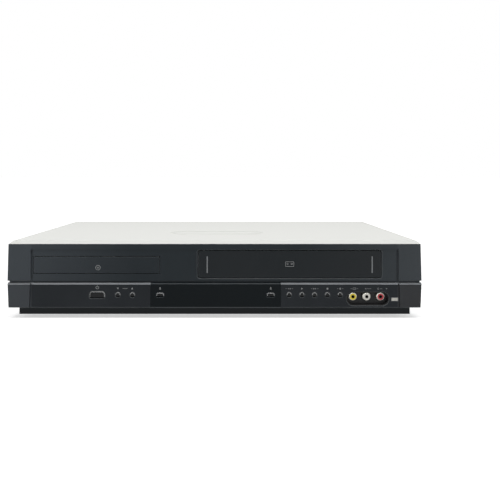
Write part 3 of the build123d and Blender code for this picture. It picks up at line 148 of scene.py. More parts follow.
# %% [markdown]
# ## What every finish starts from
# Each finish reads Object coordinates, which are metres in the player's own frame, so a
# grain of 0.3 mm is 0.3 mm wherever it lies. Constants go straight on the shader's sockets.
# A bevel is found from its normal: it looks forward less than a face and more than a side.
# The finishes paint highlights on slanted edges with this mask.

# %% Finish
SIDE_TO_BEVEL = (0.3, 0.5)  # how much a normal looks forward where a side turns into a bevel
BEVEL_TO_FACE = (0.86, 0.96)  # and where the bevel turns into the face
ALL_EDGES = -2.0  # under the Z of any normal


class Finish(Graph):
    """A material, with a wire for each of the X, Y and Z of the place that it colours."""

    def __init__(self, name, colour, roughness, metallic=0.0, specular=0.5):
        self.material = bpy.data.materials.new(name)
        self.material.use_nodes = True
        self.material.diffuse_color = rgba(colour)
        super().__init__(self.material.node_tree)
        self.tree.nodes.clear()
        self.shader = self.tree.nodes.new("ShaderNodeBsdfPrincipled")
        output = self.tree.nodes.new("ShaderNodeOutputMaterial")
        self.tree.links.new(self.shader.outputs[0], output.inputs[0])
        self.set("Base Color", rgba(colour))
        self.set("Roughness", roughness)
        self.set("Metallic", metallic)
        self.set("Specular IOR Level", specular)
        self.place = self.put("ShaderNodeTexCoord", out="Object")
        self.x, self.y, self.z = self.split(self.place)

    def set(self, name, value):
        socket = self.shader.inputs[name]
        if isinstance(value, Wire):
            self.tree.links.new(value.port, socket)
        else:
            socket.default_value = value

    def split(self, vector):
        """Wires for the X, Y and Z of a vector."""
        parts = self.tree.nodes.new("ShaderNodeSeparateXYZ")
        self.tree.links.new(vector.port, parts.inputs[0])
        return [Wire(self, parts.outputs[i]) for i in range(3)]

    def noise(self, size, detail=2.0, stretch=(1, 1, 1)):
        """Soft random values from 0 to 1, in blobs of about this size in metres."""
        spot = self.put("ShaderNodeMapping", {}, {"Vector": self.place, "Scale": stretch})
        return self.put("ShaderNodeTexNoise", {}, {"Vector": spot, "Scale": 1.0 / size, "Detail": detail})

    def bevel_highlights(self, lowest=ALL_EDGES):
        """1 on the slanted edges of a piece whose face looks forward, 0 on its flats: where highlights are
        painted.

        Edges whose normal has a Z under the lowest value stay 0."""
        _, forward, upward = self.split(self.put("ShaderNodeTexCoord", out="Normal"))
        forward = abs(forward)
        slanted = forward.within(*SIDE_TO_BEVEL) * (1 - forward.within(*BEVEL_TO_FACE))
        return slanted * upward.within(lowest, lowest + 0.25)

    def blend(self, factor, first, second):
        """A colour between two. The factor and the colours may be wires."""
        first, second = (c if isinstance(c, Wire) else rgba(c) for c in (first, second))
        # A Mix node has its factor at input 0, its colours at 6 and 7, and the result at output 2.
        return self.put("ShaderNodeMix", {"data_type": "RGBA"}, {0: factor, 6: first, 7: second}, 2)

    def vary_colour(self, colour, darkest, lightest, factor):
        """Take the colour times darkest where the factor is 0, and times lightest where it is 1."""
        ends = ([min(1.0, c * share) for c in colour] for share in (darkest, lightest))
        self.set("Base Color", self.blend(factor, *ends))

    def vary_roughness(self, middle, spread, factor):
        """Let the roughness run over a spread round its middle as the factor goes from 0 to 1."""
        self.set("Roughness", middle - spread / 2 + spread * factor)

    def bump(self, height, depth):
        """Relief whose full height is depth metres."""
        self.set("Normal", self.put(
            "ShaderNodeBump", {}, {"Height": height, "Strength": 1.0, "Distance": depth}))


print("finish defined")

# %% [markdown]
# ## Moulded and painted finishes
# Spark-eroded moulds leave plastic with a fine pebble. A satin paint shows faint orange
# peel instead. Both are noise in the bump, with slow changes of tone and of gloss.

# %% Plastics and paint
def moulded(name, colour, roughness, specular=0.5, grain=0.35 * MM, depth=0.01 * MM, tone=0.12):
    f = Finish(name, colour, roughness, specular=specular)
    pebble, drift = f.noise(grain, 3.0), f.noise(45 * MM)
    f.vary_colour(colour, 1 - tone, 1 + tone, drift)
    f.vary_roughness(roughness, 0.1, 0.6 * drift + 0.4 * pebble)
    f.bump(pebble, depth)
    return f


def painted(name, colour, roughness, specular=0.4):
    f = Finish(name, colour, roughness, specular=specular)
    peel, drift, speck = f.noise(1.1 * MM), f.noise(120 * MM, 3.0), f.noise(0.25 * MM, 1.0)
    f.vary_colour(colour, 0.97, 1.02, 0.5 * drift + 0.5 * speck)
    f.vary_roughness(roughness, 0.08, drift)
    f.bump(peel, 0.006 * MM)
    return f


cover_paint = painted("cover_paint", (0.755, 0.76, 0.725), 0.42)
rear_paint = painted("rear_paint", (0.028, 0.029, 0.031), 0.5, 0.3)
button_plastic = moulded("button_plastic", (0.006, 0.007, 0.008), 0.22, 0.18, depth=0.001 * MM)
# Painted highlight: the buttons' slanted edges, all but those that face down, are coloured pale grey.
button_plastic.set("Base Color", button_plastic.blend(
    button_plastic.bevel_highlights(-0.35), (0.0055, 0.0065, 0.0075), (0.4, 0.405, 0.41)))
foot_plastic = moulded("foot_plastic", (0.02, 0.02, 0.021), 0.55, 0.35)
pad_rubber = moulded("pad_rubber", (0.016, 0.016, 0.016), 0.8, 0.25, 0.6 * MM, 0.03 * MM)
socket_plastic = moulded("socket_plastic", (0.014, 0.014, 0.015), 0.5, 0.3)
tray_plastic = moulded("tray_plastic", (0.022, 0.023, 0.025), 0.45, 0.35, 0.5 * MM, 0.02 * MM)
frame_plastic = moulded("frame_plastic", (0.018, 0.018, 0.019), 0.6, 0.3, 0.6 * MM, 0.03 * MM)
acetal = moulded("acetal", (0.62, 0.6, 0.54), 0.4, 0.4, 0.9 * MM, 0.006 * MM, 0.05)
strip_white = moulded("strip_white", (0.2, 0.21, 0.22), 0.4, 0.4)
tape_wrap = moulded("tape_wrap", (0.42, 0.34, 0.07), 0.35, 0.5, 1.2 * MM)
print("moulded and painted finishes made")

# %% [markdown]
# ## The fascia
# The front's colour is darkest near its middle and pales towards its ends, and the end caps are
# paler still from their grooves outward: painted reflection. A fade on X gives the first and a
# step on X the second. A painted highlight line runs along the foot of the front, where it turns
# back to the plinth, and the plinth under it is painted darker, as painted shade. The slanted
# edges get a painted highlight too.

# %% Fascia plastic
PLINTH_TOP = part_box("lower_panel")[0].z
# Where the front turns back to the plinth, a painted highlight line runs between these heights, and the
# plinth under it is painted darker, as painted shade.
HIGHLIGHT_LINE_START = (PLINTH_TOP - 1.0 * MM, PLINTH_TOP - 0.9 * MM)
HIGHLIGHT_LINE_END = (PLINTH_TOP + 0.7 * MM, PLINTH_TOP + 0.9 * MM)
PLINTH_PAINTED_SHADE = (0.0026, 0.0046, 0.006)
# Painted highlight, on the slanted edges and on the line at the foot of the front.
PAINTED_HIGHLIGHT = (0.078, 0.086, 0.091)
# The ends' colours, and the fade and the step that lead to them, are painted reflection.
LEFT_END_REFLECTION, RIGHT_END_REFLECTION = (0.047, 0.055, 0.063), (0.046, 0.053, 0.059)
DARKEST_X = 0.01  # metres, where the front is darkest
PALING = (0.09, 0.205)  # metres from there, over which it pales
CAP_STEP = (0.1895, 0.1905)  # metres from the middle, inside the caps' grooves
LEFT_TO_RIGHT = (-0.01, 0.01)  # metres, where the left end's tone gives way to the right end's


def fascia_finish(name, middle, left_reflection, right_reflection, roughness, specular, fade=0.75):
    """Dark plastic with paler ends that are painted reflection: a share of it by the fade, and the rest by
    the step.
    """
    f = Finish(name, middle, roughness, specular=specular)
    pebble, drift = f.noise(0.3 * MM, 3.0), f.noise(50 * MM)
    flake = f.noise(0.16 * MM, 1.0).within(0.6, 0.75)
    # Painted reflection: paler towards the ends by a fade on X and a step at the caps.
    painted_reflection = abs(f.x - DARKEST_X).within(*PALING) * fade + abs(f.x).within(*CAP_STEP) * (1 - fade)
    tone = f.blend(painted_reflection, middle, f.blend(f.x.within(*LEFT_TO_RIGHT), left_reflection, right_reflection))
    speckled = f.blend(drift * 0.25 + flake * 0.2, tone, [c * 1.5 for c in left_reflection])
    # Painted highlight on the slanted edges.
    with_bevel_highlights = f.blend(f.bevel_highlights() * 0.8, speckled, PAINTED_HIGHLIGHT)
    # Painted shade on the plinth, up to the painted highlight line at the foot of the front.
    below = f.blend(f.z.within(*HIGHLIGHT_LINE_START), PLINTH_PAINTED_SHADE, PAINTED_HIGHLIGHT)
    above = f.blend(f.z.within(*HIGHLIGHT_LINE_END), PAINTED_HIGHLIGHT, with_bevel_highlights)
    f.set("Base Color", f.blend(f.z.within(PLINTH_TOP - 0.1 * MM, PLINTH_TOP), below, above))
    f.vary_roughness(roughness, 0.1, 0.5 * drift + 0.5 * pebble)
    f.bump(pebble, 0.006 * MM)
    return f


# The end colours given to each of these finishes are painted reflection.
fascia_plastic = fascia_finish(
    "fascia_plastic", (0.0045, 0.0092, 0.0122), LEFT_END_REFLECTION, RIGHT_END_REFLECTION, 0.36, 0.16)
door_plastic = fascia_finish(
    "door_plastic", (0.0042, 0.0085, 0.0115), LEFT_END_REFLECTION, RIGHT_END_REFLECTION, 0.34, 0.16)
flap_plastic = fascia_finish(
    "flap_plastic", (0.009, 0.0125, 0.015), (0.017, 0.019, 0.021), (0.022, 0.024, 0.026), 0.28, 0.14)
panel_plastic = fascia_finish(
    "panel_plastic", (0.0066, 0.009, 0.0115), (0.05, 0.056, 0.063), (0.034, 0.035, 0.037),
    0.3, 0.12, fade=0.0)
print("fascia finishes made")

# %% [markdown]
# ## The display window and the silver line
# The window is polished acrylic with a little dust, which shows in its gloss more than in its
# colour. Its slanted edges and a line at its foot get a painted highlight. The silver line is film
# with fine streaks along its length.

# %% Window and silver line
window_gloss = Finish("window_gloss", (0.0045, 0.0068, 0.008), 0.07, specular=0.07)
dust = window_gloss.noise(0.9 * MM, 3.0).within(0.55, 0.8)
window_gloss.set("Roughness", 0.05 + 0.05 * dust + 0.04 * window_gloss.noise(30 * MM))
acrylic = window_gloss.blend(
    dust * 0.5 + window_gloss.noise(50 * MM) * 0.4, (0.004, 0.0068, 0.0084), (0.009, 0.013, 0.0155))
# Painted highlight on the window's slanted edges, and next on the line at its foot.
edge_highlighted = window_gloss.blend(window_gloss.bevel_highlights(), acrylic, (0.022, 0.029, 0.034))
window_gloss.set("Base Color", window_gloss.blend(
    window_gloss.z.within(*HIGHLIGHT_LINE_END), PAINTED_HIGHLIGHT, edge_highlighted))

silver_trim = Finish("silver_trim", (0.12, 0.126, 0.134), 0.36, metallic=0.65)
streak = silver_trim.noise(1.2 * MM, 3.0, (0.05, 1, 1))
silver_trim.set("Base Color", silver_trim.blend(streak, (0.095, 0.1, 0.107), (0.15, 0.158, 0.168)))
silver_trim.vary_roughness(0.35, 0.14, streak)
silver_trim.bump(streak, 0.004 * MM)
print("window and silver line made")

# %% [markdown]
# ## Metals
# Pressed steel has a rolled grain that runs one way, so its noise is stretched. Galvanised
# sheet has the leafy spangle of zinc crystals, which a Voronoi pattern gives.

# %% Metals
ALONG_X, ALONG_Y, ALONG_Z = (1, 14, 14), (14, 1, 14), (14, 14, 1)
TURNED, EVEN = (1, 1, 22), (1, 1, 1)


def rolled(name, colour, roughness, stretch=ALONG_X, grain=12 * MM):
    f = Finish(name, colour, roughness, metallic=1.0)
    lines = f.noise(grain, 4.0, stretch)
    f.vary_colour(colour, 0.82, 1.08, 0.5 * lines + 0.5 * f.noise(30 * MM, 3.0))
    f.vary_roughness(roughness, 0.16, lines)
    f.bump(lines, 0.006 * MM)
    return f


def spangled(name, colour, roughness, leaf=9 * MM):
    f = Finish(name, colour, roughness, metallic=1.0)
    crystal = f.put("ShaderNodeTexVoronoi", {"feature": "F1"},
                    {"Vector": f.place, "Scale": 1.0 / leaf}, "Color")
    shade = f.put("ShaderNodeRGBToBW", {}, {0: crystal})
    f.vary_colour(colour, 0.86, 1.06, shade)
    f.vary_roughness(roughness, 0.16, shade)
    f.bump(f.noise(1.5 * MM), 0.005 * MM)
    return f


galvanised = spangled("galvanised", (0.55, 0.565, 0.575), 0.4)
pressed_steel = rolled("pressed_steel", (0.56, 0.565, 0.57), 0.36)
tinned = rolled("tinned", (0.62, 0.62, 0.6), 0.33, ALONG_Y)
ground_steel = rolled("ground_steel", (0.6, 0.6, 0.61), 0.22, ALONG_Z, 4 * MM)
turned_alloy = rolled("turned_alloy", (0.66, 0.665, 0.675), 0.24, TURNED, 6 * MM)
cast_alloy = rolled("cast_alloy", (0.42, 0.42, 0.43), 0.5, EVEN, 2 * MM)
black_zinc = rolled("black_zinc", (0.045, 0.045, 0.048), 0.4, EVEN, 2 * MM)
brass = rolled("brass", (0.55, 0.43, 0.2), 0.3, (1, 8, 8), 4 * MM)
print("metals made")

# %% [markdown]
# ## Sockets and boards
# A phono socket is a plated sleeve round a coloured ring, so its finish turns from metal to
# colour inside the rim, and to black in the bore, which is painted shade. Boards are green or
# brown laminate under lacquer, and the tall parts on them get their own tone from their height.

# %% Sockets and boards
YELLOW, WHITE, RED, ORANGE = (
    (0.75, 0.6, 0.03), (0.72, 0.7, 0.64), (0.42, 0.018, 0.03), (0.75, 0.28, 0.02))
# The black of the bore is painted shade.
BORE_EDGE = (1.7 * MM, 1.8 * MM)  # from a socket's axis, where its black bore ends
RIM_EDGE = (3.3 * MM, 3.4 * MM)  # and where its plated rim starts
FRONT_SKIN = (0.05 * MM, 0.12 * MM)  # behind its face, where the coloured ring ends
BLACK_PARTS, GREY_PARTS = (0.02, 0.02, 0.022), (0.2, 0.2, 0.21)
TRACK_SCALE, TRACK_GAP = 260.0, 0.03  # of the brick pattern that stands for a board's tracks


def socket_finish(name, colour):
    """The finish of the phono socket of this name, placed by the box of its node."""
    f = Finish(name, colour, 0.3)
    low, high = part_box(name)
    centre = (low + high) / 2
    away = ((f.x - centre.x) ** 2.0 + (f.z - centre.z) ** 2.0) ** 0.5
    front = 1 - f.y.within(low.y + FRONT_SKIN[0], low.y + FRONT_SKIN[1])
    # Painted shade: inside this edge the bore is coloured black.
    bore_shade_mask = away.within(*BORE_EDGE)
    sleeve = 1 - front * (1 - away.within(*RIM_EDGE))
    wear = f.noise(1.2 * MM, 3.0)
    tinted = f.blend(wear * 0.3, colour, [c * 0.8 for c in colour])
    plated = f.blend(wear, (0.5, 0.49, 0.43), (0.72, 0.71, 0.65))
    f.set("Base Color", f.blend(bore_shade_mask, (0.003, 0.003, 0.003), f.blend(sleeve, tinted, plated)))
    f.set("Metallic", sleeve * bore_shade_mask * 0.7)
    f.vary_roughness(0.31, 0.1, wear)
    f.bump(wear, 0.003 * MM)
    return f


def laminate(name, colour, top, tall):
    """A board whose face is at a height, with its tall parts in a tone of their own."""
    f = Finish(name, colour, 0.35)
    tracks = f.put("ShaderNodeTexBrick", {}, {
        "Vector": f.place, "Scale": TRACK_SCALE, "Color1": rgba([c * 0.9 for c in colour]),
        "Color2": rgba([c * 1.15 for c in colour]), "Mortar": rgba([c * 1.7 for c in colour]),
        "Mortar Size": TRACK_GAP})
    above = f.z.within(top + 0.1 * MM, top + 0.2 * MM)
    f.set("Base Color", f.blend(above, tracks, tall))
    f.set("Roughness", 0.3 + 0.2 * above)
    f.bump(f.noise(0.8 * MM), 0.008 * MM)
    return f


board_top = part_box("main_board")[0].z + 1.6 * MM
over_all = 1.0  # metres: the front board stands upright, and no part of it counts as tall
green_board = laminate("green_board", (0.03, 0.11, 0.045), board_top, BLACK_PARTS)
brown_board = laminate("brown_board", (0.16, 0.09, 0.035), board_top, GREY_PARTS)
front_laminate = laminate("front_laminate", (0.03, 0.1, 0.045), over_all, BLACK_PARTS)
display_glass = Finish("display_glass", (0.03, 0.04, 0.042), 0.12)
mesh_lines = display_glass.noise(0.6 * MM, 1.0, (1, 1, 6))
display_glass.set("Base Color", display_glass.blend(
    mesh_lines, (0.02, 0.03, 0.032), (0.06, 0.075, 0.078)))
display_glass.vary_roughness(0.13, 0.1, mesh_lines)
print("socket and board finishes made")

# %% [markdown]
# ## Dress the solids
# Each solid keeps its shape and only gets a finish in its material slots.

# %% Dress the solids
dressing = {
    "top_cover": cover_paint, "bottom_pan": galvanised, "rear_panel": rear_paint,
    "case_feet": foot_plastic, "foot_pads": pad_rubber, "case_screws": black_zinc,
    "front_fascia": fascia_plastic, "lower_panel": panel_plastic, "bevel_trim": silver_trim,
    "display_window": window_gloss, "jack_bezel": socket_plastic,
    "video_jack": socket_finish("video_jack", YELLOW),
    "left_audio_jack": socket_finish("left_audio_jack", WHITE),
    "right_audio_jack": socket_finish("right_audio_jack", RED),
    "front_board": front_laminate, "display_module": display_glass,
    "scart_sockets": socket_plastic, "output_jacks": socket_plastic, "tuner_can": tinned,
    "mains_inlet": socket_plastic, "main_board": green_board, "power_board": brown_board,
    "transformer": tape_wrap, "loader_frame": frame_plastic, "disc_tray": tray_plastic,
    "tray_door": door_plastic, "tray_pinion": acetal, "motor_pulley": acetal,
    "loader_motor": tinned, "loader_belt": pad_rubber, "traverse_plate": pressed_steel,
    "pickup_sled": cast_alloy, "turntable": frame_plastic, "clamp_bridge": pressed_steel,
    "clamp_puck": frame_plastic, "cassette_flap": flap_plastic, "flap_strips": strip_white,
    "deck_chassis": galvanised, "carrier_slider": pressed_steel, "cassette_carrier": galvanised,
    "drum_base": turned_alloy, "head_drum": turned_alloy, "supply_reel": acetal,
    "take_up_reel": acetal, "capstan": ground_steel, "pinch_arm": pressed_steel,
    "pinch_roller": pad_rubber, "supply_guide": ground_steel, "take_up_guide": ground_steel,
    "loading_cam": acetal,
}
for name, node in frame["nodes"].items():
    finish = button_plastic if name.endswith("_button") else dressing[name]
    node.data.materials.clear()
    node.data.materials.append(finish.material)
print("dressed", len(frame["nodes"]), "solids")

# %% [markdown]
# ## Outlines for the marks
# A mark is a list of corner points in millimetres, X to the right and Z up as seen from the
# front. Rings and frames run round their outer edge and back along their inner edge.

# %% Outlines
RING_STEPS, CORNER_STEPS = 36, 5


def arc(centre, radius, start, end, steps):
    """Points of an arc in degrees, clockwise from straight up."""
    turns = [math.radians(start + (end - start) * i / steps) for i in range(steps + 1)]
    return [(centre[0] + radius * math.sin(t), centre[1] + radius * math.cos(t)) for t in turns]


def ring(centre, radius, width, start=0.0, end=360.0):
    return (arc(centre, radius, start, end, RING_STEPS)
            + arc(centre, radius - width, end, start, RING_STEPS))


def bar(x, z, wide, tall):
    return [(x - wide / 2, z - tall / 2), (x + wide / 2, z - tall / 2),
            (x + wide / 2, z + tall / 2), (x - wide / 2, z + tall / 2)]


def triangle(x, z, size, turn):
    """A triangle whose point faces up, and turns clockwise by so many degrees."""
    points = [(-0.5, -0.4), (0.5, -0.4), (0.0, 0.5)]
    c, s = math.cos(math.radians(turn)), math.sin(math.radians(turn))
    return [(x + size * (px * c + pz * s), z + size * (pz * c - px * s)) for px, pz in points]


def plate(x, z, wide, tall, radius):
    """A filled oblong with round corners."""
    w, t = wide / 2 - radius, tall / 2 - radius
    points = []
    for cx, cz, start in ((w, t, 0), (w, -t, 90), (-w, -t, 180), (-w, t, 270)):
        points += arc((x + cx, z + cz), radius, start, start + 90, CORNER_STEPS)
    return points


def rounded(x, z, wide, tall, radius, width):
    """A frame with round corners, as one outline that runs round and back."""
    def path(inset):
        points = plate(x, z, wide - 2 * inset, tall - 2 * inset, max(radius - inset, 0.05))
        return points + points[:1]
    return path(0.0) + path(width)[::-1]


print("outlines defined")

# %% [markdown]
# ## Ink with a thickness
# Marks are printed in pale ink a few hundredths of a millimetre thick. Each one is a flat
# outline given that thickness, half of it in the surface, so it can't flicker there.

# %% Ink
INK = 0.05 * MM
ink = moulded("ink", (0.3, 0.31, 0.31), 0.5, 0.3, 0.4 * MM, 0.003 * MM)
faint_ink = moulded("faint_ink", (0.2, 0.205, 0.21), 0.5, 0.3, 0.4 * MM, 0.003 * MM)


def attach(piece, finish, body):
    """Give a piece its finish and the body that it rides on."""
    piece.data.materials.clear()
    piece.data.materials.append(finish.material)
    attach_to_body(piece, body)


def print_marks(name, outlines, surface, finish, body):
    """Prisms of ink from outlines in millimetres, standing on a surface at this Y."""
    shape = bmesh.new()
    for outline in outlines:
        front = [shape.verts.new((x * MM, surface - INK, z * MM)) for x, z in outline]
        rear = [shape.verts.new((x * MM, surface + INK, z * MM)) for x, z in outline]
        shape.faces.new(front)
        shape.faces.new(rear[::-1])
        for i in range(len(outline)):
            j = (i + 1) % len(outline)
            shape.faces.new((front[j], front[i], rear[i], rear[j]))
    bmesh.ops.recalc_face_normals(shape, faces=shape.faces)
    bmesh.ops.triangulate(shape, faces=shape.faces)
    mesh = bpy.data.meshes.new(name)
    shape.to_mesh(mesh)
    shape.free()
    piece = bpy.data.objects.new(name, mesh)
    bpy.context.collection.objects.link(piece)
    attach(piece, finish, body)


print("ink ready")

# %% [markdown]
# ## Signs on the lower panel
# They are the plain signs that any player has: arrows, a square, a dot, and the ring and bar
# of the power key. Those of the deck's buttons and of the jacks stand over them.

# %% Panel signs
panel_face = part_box("lower_panel")[0].y
window_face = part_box("display_window")[0].y
POWER_X, POWER_Z = -121.5, 32.1
PROGRAMME_X, PROGRAMME_Z = (-100.2, -92.8, -85.4), 31.0
EJECT_X, EJECT_Z = (-56.4, 58.3), 31.3
SIGN_Z = 30.8


def middle_x(node):
    """The middle of a node's width, in millimetres."""
    low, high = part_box(node)
    return (low.x + high.x) / 2 / MM


def print_panel(name, outlines, finish):
    print_marks(name, outlines, panel_face, finish, "case")


def arrow(x, size, turn):
    return triangle(x, SIGN_Z, size, turn)


def dash(x, wide):
    return bar(x, SIGN_Z, wide, 0.4)


def flanked(x, reach):
    """Two dashes, one on each side of a sign."""
    return [dash(x - reach, 1.4), dash(x + reach, 1.4)]


def twin_arrows(x, turn):
    return [arrow(x - 0.9, 1.7, turn), arrow(x + 0.9, 1.7, turn)]


rewind_x, play_x, forward_x, stop_x, record_x = (
    middle_x(f"{key}_button") for key in ("rewind", "play", "forward", "stop", "record"))
video_x, left_x, right_x = (middle_x(f"{key}_jack") for key in ("video", "left_audio", "right_audio"))
camera_x = video_x + 1.4

print_panel("power_sign", [
    ring((POWER_X, POWER_Z), 1.7, 0.42, 32, 328), bar(POWER_X, POWER_Z + 1.1, 0.42, 1.9)], ink)
print_panel("programme_signs", [
    triangle(PROGRAMME_X[0], PROGRAMME_Z, 2.1, 180), triangle(PROGRAMME_X[2], PROGRAMME_Z, 2.1, 0),
    bar(PROGRAMME_X[1], PROGRAMME_Z, 5.2, 0.35)], ink)
eject_signs = []
for x in EJECT_X:
    eject_signs += [triangle(x, EJECT_Z + 0.5, 1.9, 0), bar(x, EJECT_Z - 1.0, 1.9, 0.5)]
print_marks("eject_signs", eject_signs, window_face, ink, "case")
print_panel("deck_signs", [arrow(play_x, 2.0, 90), bar(stop_x, SIGN_Z, 1.7, 1.7)], ink)
print_panel("deck_second_signs", [
    *flanked(rewind_x, 3.2), *flanked(forward_x, 3.2), *flanked(record_x, 2.6),
    *twin_arrows(rewind_x, 270), *twin_arrows(forward_x, 90),
    arc((record_x, SIGN_Z), 0.95, 0, 345, 23)], faint_ink)
print_panel("input_signs", [
    *flanked(camera_x, 3.2), rounded(camera_x, SIGN_Z, 3.4, 2.1, 0.4, 0.4),
    arrow(left_x - 1.2, 1.7, 270), dash(left_x + 2.4, 4.4),
    ring((right_x - 2.6, SIGN_Z), 1.0, 0.35), dash(right_x + 0.6, 2.6),
    arrow(right_x + 6.3, 1.7, 90)], faint_ink)
print("signs on the lower panel")

# %% [markdown]
# ## Signs on the doors, and the blank badge
# The tray door and the flap each carry one small sign of what goes in: a disc, and a
# cassette with its two hubs. They are drawn plainly, as rings and a rounded frame. The badge
# at the right is a bare face in a pale edge.

# %% Door signs
DISC_X, DISC_Z = -121.0, 52.6
CASSETTE_X, CASSETTE_Z, HUB_REACH = 78.0, 56.2, 2.2
BADGE_X, BADGE_Z = 186.8, 19.8

print_marks("disc_sign", [ring((DISC_X, DISC_Z), 2.6, 0.45), ring((DISC_X, DISC_Z), 0.9, 0.35)],
            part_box("tray_door")[0].y, ink, "tray")
print_marks("cassette_sign", [
    rounded(CASSETTE_X, CASSETTE_Z, 9.0, 5.2, 0.6, 0.4),
    ring((CASSETTE_X - HUB_REACH, CASSETTE_Z + 0.2), 0.95, 0.35),
    ring((CASSETTE_X + HUB_REACH, CASSETTE_Z + 0.2), 0.95, 0.35)],
    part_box("cassette_flap")[0].y, ink, "flap")
badge = moulded("badge", (0.56, 0.55, 0.5), 0.35, 0.5)
print_panel("badge_plate", [rounded(BADGE_X, BADGE_Z, 7.4, 3.8, 0.5, 0.3)], strip_white)
print_panel("badge_face", [plate(BADGE_X, BADGE_Z, 6.4, 3.0, 0.4)], badge)
print("door signs and the blank badge")

# %% [markdown]
# ## What repeats
# Screw crosses, contacts and coloured rings repeat, so each is drawn once in a small
# Geometry Nodes tree and set on a list of places. The tree ends with Realize Instances and
# Set Material, and the result becomes a plain mesh, as a printer of parts would need it.

# %% Repeat one shape over places
def repeat_tree(name, shape, sizes, finish):
    """A tree that sets a shape, built by shape(graph, sizes), on each of its points."""
    tree = bpy.data.node_groups.new(name, "GeometryNodeTree")
    tree.interface.new_socket(name="Geometry", in_out="INPUT", socket_type="NodeSocketGeometry")
    for title in sizes:
        tree.interface.new_socket(name=title, in_out="INPUT", socket_type="NodeSocketFloat")
    tree.interface.new_socket(name="Geometry", in_out="OUTPUT", socket_type="NodeSocketGeometry")
    g = Graph(tree)
    entry = tree.nodes.new("NodeGroupInput")
    given = {title: Wire(g, entry.outputs[title]) for title in sizes}
    way = g.put("GeometryNodeInputNamedAttribute", {"data_type": "FLOAT_VECTOR"}, {"Name": "facing"})
    turn = g.put("FunctionNodeAlignEulerToVector", {"axis": "Z"}, {"Vector": way})
    copies = g.put("GeometryNodeInstanceOnPoints", {}, {
        "Points": Wire(g, entry.outputs["Geometry"]), "Instance": shape(g, given), "Rotation": turn})
    solid = g.put("GeometryNodeRealizeInstances", {}, {"Geometry": copies})
    dressed = g.put("GeometryNodeSetMaterial", {}, {"Geometry": solid, "Material": finish.material})
    g.put("NodeGroupOutput", {}, {"Geometry": dressed})
    return tree


def repeat(name, places, facings, shape, sizes, finish, body):
    """Make a piece of a shape set on each place, its +Z along the facing."""
    points = bpy.data.meshes.new(name + "_places")
    points.from_pydata([tuple(p) for p in places], [], [])
    facing = points.attributes.new("facing", "FLOAT_VECTOR", "POINT")
    for i, way in enumerate(facings):
        facing.data[i].vector = way
    piece = bpy.data.objects.new(name, points)
    bpy.context.collection.objects.link(piece)
    live = piece.modifiers.new(name, "NODES")
    live.node_group = repeat_tree(name, shape, sizes, finish)
    for item in live.node_group.interface.items_tree:
        if item.in_out == "INPUT" and item.name in sizes:
            live[item.identifier] = sizes[item.name]
    evaluated = piece.evaluated_get(bpy.context.evaluated_depsgraph_get())
    mesh = bpy.data.meshes.new_from_object(evaluated)
    piece.modifiers.clear()
    piece.data = mesh
    mesh.name = name
    attach(piece, finish, body)
    print(name, len(places), "places,", len(mesh.polygons), "faces")


def brick(g, long, wide, tall):
    size = g.put("ShaderNodeCombineXYZ", {}, {"X": long, "Y": wide, "Z": tall})
    return g.put("GeometryNodeMeshCube", {}, {"Size": size})


def cross(g, given):
    """Two crossed bars standing on a head, painted shade where the recess of a cross-head screw would
    show.
    """
    bars = [brick(g, given["Arm"], given["Width"], given["Height"]),
            brick(g, given["Width"], given["Arm"], given["Height"])]
    return g.put("GeometryNodeJoinGeometry", {}, {"Geometry": bars})


def blade(g, given):
    return brick(g, given["Wide"], given["Thick"], given["Long"])


def collar(g, given):
    """A ring: a short rod less a longer and thinner one, each with so many sides."""
    sides = 28
    outer = g.put("GeometryNodeMeshCylinder", {}, {
        "Vertices": sides, "Radius": given["Radius"], "Depth": given["Height"]})
    bore = g.put("GeometryNodeMeshCylinder", {}, {
        "Vertices": sides, "Radius": given["Radius"] - given["Wall"], "Depth": given["Height"] * 2.0})
    return g.put("GeometryNodeMeshBoolean", {"operation": "DIFFERENCE"}, {"Mesh 1": outer, "Mesh 2": bore})


print("shapes that repeat defined")

# %% [markdown]
# ## Screw crosses
# The seven case screws share one node, so its mesh is parted into its separate solids, and
# the box of each one says where its head is. A screw far out on X looks sideways, and the
# others look to the rear.

# %% Screw crosses
WELD = 0.001 * MM  # points nearer than this are one
SIDE_SCREWS = 0.19  # metres: a screw farther out than this is in a side


def box_of(points):
    """The low and the high corner of the box round some points."""
    return (Vector([min(p[i] for p in points) for i in range(3)]),
            Vector([max(p[i] for p in points) for i in range(3)]))


def islands(node):
    """The boxes of a node's separate solids, as (low, high) pairs."""
    shape = bmesh.new()
    shape.from_mesh(frame["nodes"][node].data)
    bmesh.ops.remove_doubles(shape, verts=shape.verts, dist=WELD)
    left, boxes = set(shape.verts), []
    while left:
        edge, found = [left.pop()], []
        while edge:
            vert = edge.pop()
            found.append(vert.co.copy())
            for link in vert.link_edges:
                other = link.other_vert(vert)
                if other in left:
                    left.discard(other)
                    edge.append(other)
        boxes.append(box_of(found))
    shape.free()
    return sorted(boxes, key=lambda box: tuple(round(v, 4) for v in box[0]))


# Painted shade: the screws' cross recesses are thin black bars that stand on their heads.
painted_recess_shade = moulded("painted_recess_shade", (0.006, 0.006, 0.006), 0.6, 0.2, 0.5 * MM)
screw_spots, screw_ways = [], []
for low, high in islands("case_screws"):
    middle = (low + high) / 2
    if abs(middle.x) > SIDE_SCREWS:
        side = 1 if middle.x > 0 else -1
        screw_spots.append(Vector((high.x if side > 0 else low.x, middle.y, middle.z)))
        screw_ways.append((side, 0, 0))
    else:
        screw_spots.append(Vector((middle.x, high.y, middle.z)))
        screw_ways.append((0, 1, 0))
repeat("screw_crosses", screw_spots, screw_ways, cross,
       {"Arm": 3.0 * MM, "Width": 0.8 * MM, "Height": 0.08 * MM}, painted_recess_shade, "case")

